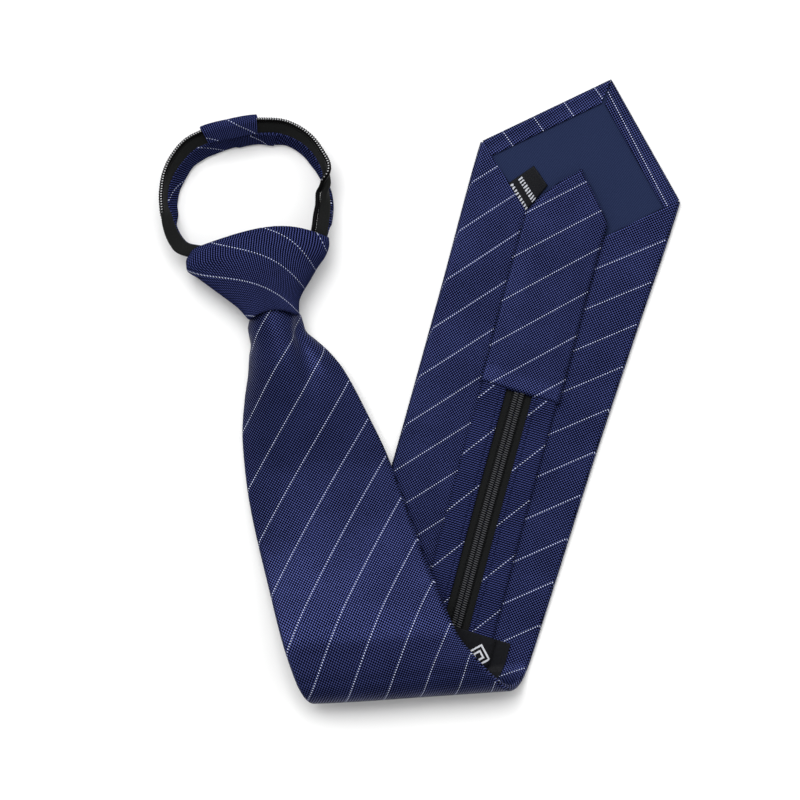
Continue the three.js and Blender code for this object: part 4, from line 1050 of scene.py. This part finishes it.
def knot_ring(share, inset):
    """Rings of the knot, one for each share of its length, as (across, up, z), drawn in by inset.

    Each is |x|^n + |y|^n = 1 with n from the table's square, in even steps round its outline. A ring
    rises in front by arch, sinks behind by back, and is cut away at its left side near the mouth.
    """
    at = {name: line(np.clip(share, 0, 1))[:, None] for name, line in knot_curves.items()}
    angle = np.linspace(0, 2 * np.pi, 1441)[None, :]
    c, s = np.cos(angle), np.sin(angle)
    x = np.sign(c) * np.abs(c) ** (2 / at["square"])
    y = np.sign(s) * np.abs(s) ** (2 / at["square"])
    middle = KNOT_WIDTH * (at["right"] - at["left"]) / 2
    wide = KNOT_WIDTH * (at["right"] + at["left"]) / 2 - inset[:, None]
    high = KNOT_DEPTH * at["height"] / 2
    tall = high - inset[:, None]
    run = np.concatenate([np.zeros((len(share), 1)), np.cumsum(
        np.hypot(np.diff(x * wide, axis=1), np.diff(y * tall, axis=1)), 1)], 1)
    even = np.linspace(0, 1, 221)
    xs = np.stack([np.interp(even * r[-1], r, row) for r, row in zip(run, x)])
    ys = np.stack([np.interp(even * r[-1], r, row) for r, row in zip(run, y)])
    share = share[:, None]
    cut = np.where(xs < 0, MOUTH_CUT * xs ** 8 * np.clip(share, 0, 1) ** 6, 0) * np.clip(1 - ys, 0, 1)
    front = np.maximum(0, ys) * (1 - xs * xs) * (1 + ARCH_SKEW * share * xs)
    rise = front * at["arch"] * RIM_ARCH - np.clip(-ys, 0, 1) * at["back"] - cut
    across = middle + wide * xs
    up = KNOT_LENGTH * (share + rise)
    z = FLOOR_GAP + high + tall * ys
    return across, up, z, even * run[:, -1:]


# Stripes on the knot as a cubic in its across and up: 1, x, y, xx, xy, yy, xxx, xxy, xyy, yyy
KNOT_STRIPES = (-1.7982, 0.05594, 0.08156, 0.002337, 7.02e-5, -4.414e-4,
                2.07e-5, -4.26e-5, -1.53e-5, 1.05e-5)


KNOT_GIRTH = 120.0  # length of cloth once round the knot, for its ribs


def make_knot():
    """Wrap of cloth, outside and inside, closed at both ends by a half-round roll of radius KNOT_WALL / 2."""
    roll = KNOT_WALL / 2
    turn = np.linspace(0, np.pi, 9)[1:-1]
    shares = np.linspace(HEM_UP, 1, 46)
    share = np.concatenate([shares, 1 + roll * np.sin(turn) / KNOT_LENGTH, shares[::-1],
                            HEM_UP - roll * np.sin(turn) / KNOT_LENGTH])
    inset = np.concatenate([0 * shares, roll * (1 - np.cos(turn)), KNOT_WALL + 0 * shares,
                            roll * (1 + np.cos(turn))])
    across, up, z, run = knot_ring(share, inset)
    across = across + KNOT_ASIDE
    points = in_knot(across, up, z)[:, :-1]
    x, y = across, up
    terms = (1 + 0 * x, x, y, x * x, x * y, y * y, x ** 3, x * x * y, x * y * y, y ** 3)
    stripes = sum(factor * term for factor, term in zip(KNOT_STRIPES, terms))
    ribs = run / run[:, -1:] * KNOT_GIRTH
    uv = np.stack([stripes * STRIPE_PITCH, ribs], -1)
    uv = np.concatenate([uv, uv[:1]], 0)
    made = grid_mesh("knot_cloth", points, uv, around=True, ring_of_rows=True)
    place(made, ribbed, "navy_weave", ["knot"], flat=(0.125, KNOT_LENGTH * 1.15e-3), held="folded")


# The neck loop

def strand_line(loop, ends):
    """Curves of one strand with its rows inside the knot, in turns round the loop's middle."""
    spot = in_knot(KNOT_WIDTH * ends["across"], KNOT_LENGTH * ends["up"], 0.0) - NECK_CENTRE
    turn = np.degrees(np.arctan2(spot[:, 1], spot[:, 0]))
    turn = np.where(ends["across"] < 0, turn + 360, turn)
    rows = {
        "turn": np.concatenate([loop["turn"], turn]),
        "reach": np.concatenate([loop["reach"], np.hypot(spot[:, 0], spot[:, 1]) / NECK_RADIUS]),
        "tape": np.concatenate([loop["tape"], ends["tape"]]),
        "band": np.concatenate([loop["band"], ends["band"]]),
    }
    half_gap = np.degrees(GAP / (NECK_RADIUS * loop["reach"][0]))
    first, mouth, last = rows["turn"][[0, -2, -1]]
    part = {name: curve(rows, "turn", name) for name in ("reach", "tape", "band")}
    part.update(first=first + np.sign(last - first) * half_gap, last=last, mouth=mouth, rows=rows)
    return part


NECK_CENTRE = in_knot(
    NECK_RADIUS * NECK_CENTRE_ASIDE, KNOT_LENGTH + NECK_RADIUS * NECK_CENTRE_ABOVE, 0.0)

TWIST_TURN = 7.0  # degrees, where the right tape folds over from leaning outwards to leaning inwards
TWIST_SPAN = 10.0  # degrees over which it turns
TWIST_LEAN = np.radians(98.0)  # by which its edge leans further than its foot there
TWIST_STEPS = 12  # straight pieces that a bent tape's reach is summed from
TWIST_SLACK = 1.2
TWIST_RISE = (2.2, 3.8)  # the tape bends between these heights above the seam


def on_strand(part, turn, up, side, band):
    """A place on a strand: up along the tape above the seam or along the band below it, side outwards.

    Both lean outwards from the seam by their table's angle, so a place lies up sin(lean) further from
    the loop's middle and up cos(lean) higher; the twist takes twist * smooth(height) off the lean.
    """
    turn, up, side = np.broadcast_arrays(
        np.asarray(turn, float), np.asarray(up, float), np.asarray(side, float))
    near = np.clip(1 - np.abs(turn - part["mouth"]) / ENTRY_TURN, 0, 1)
    past = (turn - part["mouth"]) * np.sign(part["last"] - part["first"]) > 0
    lift = ENTRY_LIFT * np.where(past, 1, near * near * (3 - 2 * near))
    band_lean = np.radians(part["band"](turn))
    lean = np.where(band, band_lean, np.radians(part["tape"](turn)))
    foot = FLOOR_GAP + BAND_THICKNESS / 2 * np.abs(np.sin(band_lean))
    seam = foot + (GAP + STRIP_WIDTH) * np.cos(band_lean) + lift
    twist = TWIST_LEAN * np.exp(-((turn - TWIST_TURN) / TWIST_SPAN) ** 2)
    shares = (np.arange(TWIST_STEPS) + 0.5) / TWIST_STEPS
    leans = lean[..., None] - twist[..., None] * smooth(up[..., None] * shares, *TWIST_RISE)
    run_out = up * np.sin(leans).mean(-1)
    run_up = up * np.cos(leans).mean(-1)
    lean = lean - twist * smooth(up, *TWIST_RISE)
    away = NECK_RADIUS * part["reach"](turn) + run_out + side * np.cos(lean)
    angle = np.radians(turn)
    spot = NECK_CENTRE + np.stack([away * np.cos(angle), away * np.sin(angle), 0 * away], -1)
    return spot + np.stack([0 * away, 0 * away, seam + run_up - side * np.sin(lean)], -1)


ARC_REACH = 0.9  # share of NECK_RADIUS at which lengths round the loop are measured
STRAND_REACH = 0.93  # and at which the flat strands are


def clockwise(turn):
    """Length round the loop, clockwise as seen from above, from the photograph's left."""
    return -np.radians(turn) * NECK_RADIUS * ARC_REACH


# Pitch in mm and shift of the stripes on each piece
NECK_STRIPES = {"left": (25.5, 0.867), "right": (46.0, 0.95), "sleeve": (19.2, 0.27)}


def neck_cloth(turn, up, piece):
    """Cloth coordinates of a strip round the neck: stripes slant at 45 degrees, ribs run across it."""
    arc = clockwise(turn)
    pitch, shift = NECK_STRIPES[piece]
    return np.stack([((arc + up) / pitch + shift) * STRIPE_PITCH, arc + 0 * up], -1)


BAND_LAP = 40.0  # degrees by which the left band runs on along the inside of the right one


def tucked(turn):
    """1 where the left coil is tucked under its tape, on the way into the knot."""
    return smooth(turn, 186, 197)


def slack(turn):
    """How much further the tape reaches where it folds over, so that the fold hides nothing of it."""
    return TWIST_SLACK * np.exp(-((turn - TWIST_TURN - 5) / TWIST_SPAN) ** 2)


def make_strand(name, part):
    """One strand of the neck loop: band below the seam, tape above it, coil on the tape's edge, stitches."""
    first, last = part["first"], part["last"]
    degree = 1 if last > first else -1
    stations = np.linspace(first, last, 150) * degree
    edge = BAND_THICKNESS / 2
    lap = BAND_LAP if name == "left" else 0.3
    band_stations = np.linspace(first - lap * degree, last, 180) * degree

    def band_lay(up, turn, side):
        inside = 0.6 * smooth(first - turn * degree, -3, 3) if name == "left" else 0.0
        return on_strand(part, turn * degree, up, side - edge - inside, True)

    def tape_lay(up, turn, side):
        return on_strand(part, turn * degree, up, side - TAPE_THICKNESS / 2, up < 0)

    def groove(up, turn):
        return 0.2 * np.exp(-((up + STITCH_IN) / 0.5) ** 2)

    band = closed_strip(
        f"neck_band_{name}_cloth", band_lay, band_stations,
        lambda t: np.full(t.shape, -STRIP_WIDTH - GAP), lambda t: np.full(t.shape, -0.1),
        0.0, BAND_THICKNESS, lambda up, t, girth: neck_cloth(t * degree, up, name),
        flats=24, arc=10, groove=groove)
    tape = closed_strip(
        f"neck_tape_{name}_cloth", tape_lay, stations,
        lambda t: np.full(t.shape, -STRIP_INNER),
        lambda t: TAPE_WIDTH - GAP + 1.7 * tucked(t * degree) + slack(t * degree),
        0.0, TAPE_THICKNESS, lambda up, t, girth: np.stack([up + 0 * t, clockwise(t * degree)], -1),
        flats=22, arc=4)
    arc_mm = NECK_RADIUS * ARC_REACH
    coil_up = TAPE_WIDTH + NECK_COIL / 2 - 0.25

    def tooth_lay(up, along, side):
        turn = np.degrees(along / arc_mm) * degree
        under = tucked(turn)
        return on_strand(part, turn, up + slack(turn) - 2.2 * under, side + 1.2 * under, False)

    span = np.radians([stations[0], stations[-1]]) * arc_mm
    path, outer = helix(tooth_lay, span[0], span[1], coil_up, 0.83, 0.83, 0.0, 0.0)
    # mark is 1 near each turn's tip on the coil's top edge, where the coil's material paints a pale highlight
    # point
    teeth = tube(f"neck_teeth_{name}", path[None], NECK_THREAD, on_line_direction(path), sides=6,
                 mark=np.cos(outer + 0.4))
    core_at = np.linspace(span[0], span[1], 400)
    core = tube(f"neck_core_{name}", tooth_lay(coil_up, core_at, 0.0)[None], NECK_CORE,
                (0.1, 0.1, 1.0), sides=8, mark=0 * core_at)
    place(core, neck_nylon, "black_coil")
    place(teeth, neck_nylon, "black_coil", [f"neck_coil_{name}"])
    marks = np.arange(stations[0] + 2, stations[-1] - 2, 4.4)[:, None] + np.linspace(-1.5, 1.5, 7)
    sewn_paths = np.concatenate([
        on_strand(part, marks * degree, -STITCH_IN, s * (edge - 0.05), True) for s in (-1, 1)])
    sewn = tube(f"neck_stitches_{name}", sewn_paths, 0.18 * STITCH_SHAPE, (0.1, 0.1, 1.0))
    place(sewn, thread, "navy_weave")
    length = abs(np.radians(last - first)) * NECK_RADIUS * STRAND_REACH
    lapped = length + np.radians(lap) * NECK_RADIUS * STRAND_REACH
    place(band, ribbed, "navy_weave", [f"neck_band_{name}"],
          flat=(STRIP_WIDTH * 1.05e-3, lapped * 1e-3), held="folded", with_pieces=[sewn])
    place(tape, black_tape, "black_tape", [f"neck_tape_{name}"],
          flat=(0.0101, length * 1e-3), held="stretched", rests_on=[band], with_pieces=[teeth, core])


SLEEVE_TAPER = 0.012  # for each mm from the seam, so that both ends are cut square to the sleeve


def make_sleeve(part):
    """Cloth sleeve over both tapes' ends: a U-shaped sheet round tape and coil, open towards the seam."""
    half_turn = np.degrees(SLEEVE_LENGTH / 2 / (NECK_RADIUS * part["reach"](SLEEVE_TURN)))
    middle = COIL_THICKNESS / 2 + GAP + SLEEVE_WALL / 2
    top = TAPE_WIDTH + NECK_COIL + GAP + SLEEVE_WALL / 2
    path = rounded_path(
        [(0.4, -middle), (top - 1.5, -middle), (top - 0.4, -middle * 0.55), (top, 0),
         (top - 0.4, middle * 0.55), (top - 1.5, middle), (0.4, middle)], 0.25, 1.0)
    ring, run = offset_ring(path, SLEEVE_SHEET)
    rows, keep = end_rows(np.linspace(SLEEVE_TURN - half_turn, SLEEVE_TURN + half_turn, 60), 0.8)
    line = np.concatenate([path, path[::-1]])
    up = line[:, 0] + (ring - line)[:, 0] * keep[:, None]
    side = line[:, 1] + (ring - line)[:, 1] * keep[:, None]
    turn = SLEEVE_TURN + (rows[:, None] - SLEEVE_TURN) * (1 - SLEEVE_TAPER * up)
    points = on_strand(part, turn, up, side, False)
    flat_up = np.broadcast_to(wrap(run), (len(rows), len(run) + 1))
    uv = neck_cloth(np.broadcast_to(rows[:, None], flat_up.shape), 1.5 * (0.4 + flat_up), "sleeve")
    made = grid_mesh("neck_sleeve_cloth", points, uv, around=True)
    place(made, ribbed, "navy_weave", ["neck_sleeve"], flat=(SLEEVE_LENGTH * 1e-3, run.max() * 1e-3),
          held="folded", rests_on=["neck_tape_left_cloth", "neck_tape_right_cloth"])


def with_curves_of(part, rows):
    """The same strand, but with its curves drawn through these rows, which run on past its ends."""
    return {**part, **{key: curve(rows, "turn", key) for key in ("reach", "tape", "band")}}


make_knot()
left_strand = strand_line(NECK_LEFT, NECK_LEFT_END)
right_strand = strand_line(NECK_RIGHT, NECK_RIGHT_END)
both_left = {key: np.concatenate([left_strand["rows"][key], NECK_RIGHT[key][1:]]) for key in NECK_LEFT}
make_strand("left", with_curves_of(left_strand, both_left))
make_strand("right", right_strand)
make_sleeve(with_curves_of(left_strand, both_left))

# Table, light and camera

VIEW_SPOT = np.array([VIEW_CENTRE[0] * 1e-3, VIEW_CENTRE[1] * 1e-3, 0.0])
bpy.ops.mesh.primitive_plane_add(size=4.0, location=VIEW_SPOT + (0, 0, -1e-4))
floor = bpy.context.object
floor.name = "table_top"
# Lacquered board: an even white with no gloss to mirror the tie, hardly mottled
floor_material, floor_tree, floor_shader = new_material("white_table", 0.6, specular=0.2)
floor_spot = add(floor_tree, "TexCoord", output="Object")
floor_noise = add(floor_tree, "TexNoise", {"Vector": floor_spot, "Scale": 30.0, "Detail": 2.0})
floor_colour = add(floor_tree, "Mix", {0: floor_noise, 6: srgb("#f4f4f4"), 7: srgb("#f8f8f7")}, 2,
                   data_type="RGBA")
floor_tree.links.new(floor_colour, floor_shader.inputs["Base Color"])
floor.data.materials.append(floor_material)


def lamp(name, away, size, power):
    """Square white area light, away from the middle of the view in metres, that faces it."""
    data = bpy.data.lights.new(name, "AREA")
    data.size = size
    data.energy = power
    made = bpy.data.objects.new(name, data)
    made.location = VIEW_SPOT + away
    made.rotation_euler = (np.arctan2(np.hypot(away[0], away[1]), away[2]), 0,
                           np.arctan2(away[1], away[0]) + np.pi / 2)
    bpy.context.scene.collection.objects.link(made)


lamp("key", (-0.4, 0.85, 1.85), 1.2, 31.5)
lamp("fill", (0.9, 0.3, 1.6), 1.3, 4.0)

SKY_LEVEL = 0.66  # brightness straight above
SKY_SLOPE = 0.42  # brighter towards the top of the photograph, darker towards its bottom
world = bpy.data.worlds.new("studio")
bpy.context.scene.world = world
world.use_nodes = True
sky = world.node_tree
sky.nodes["Background"].inputs["Color"].default_value = srgb("#ffffff")
towards = add(sky, "SeparateXYZ", (add(sky, "TexCoord", output="Generated"),), 1)
bright = add(sky, "Math", (towards, SKY_SLOPE, SKY_LEVEL), operation="MULTIPLY_ADD")
sky.links.new(bright, sky.nodes["Background"].inputs["Strength"])

camera_data = bpy.data.cameras.new("camera")
camera_data.sensor_width = SENSOR
camera_data.lens = SENSOR * CAMERA_HEIGHT / VIEW_WIDTH
camera_data.clip_end = 20.0
camera = bpy.data.objects.new("camera", camera_data)
camera.location = VIEW_SPOT + (0, 0, CAMERA_HEIGHT * 1e-3)
bpy.context.scene.collection.objects.link(camera)
bpy.context.scene.camera = camera
bpy.context.scene.view_settings.view_transform = "Standard"
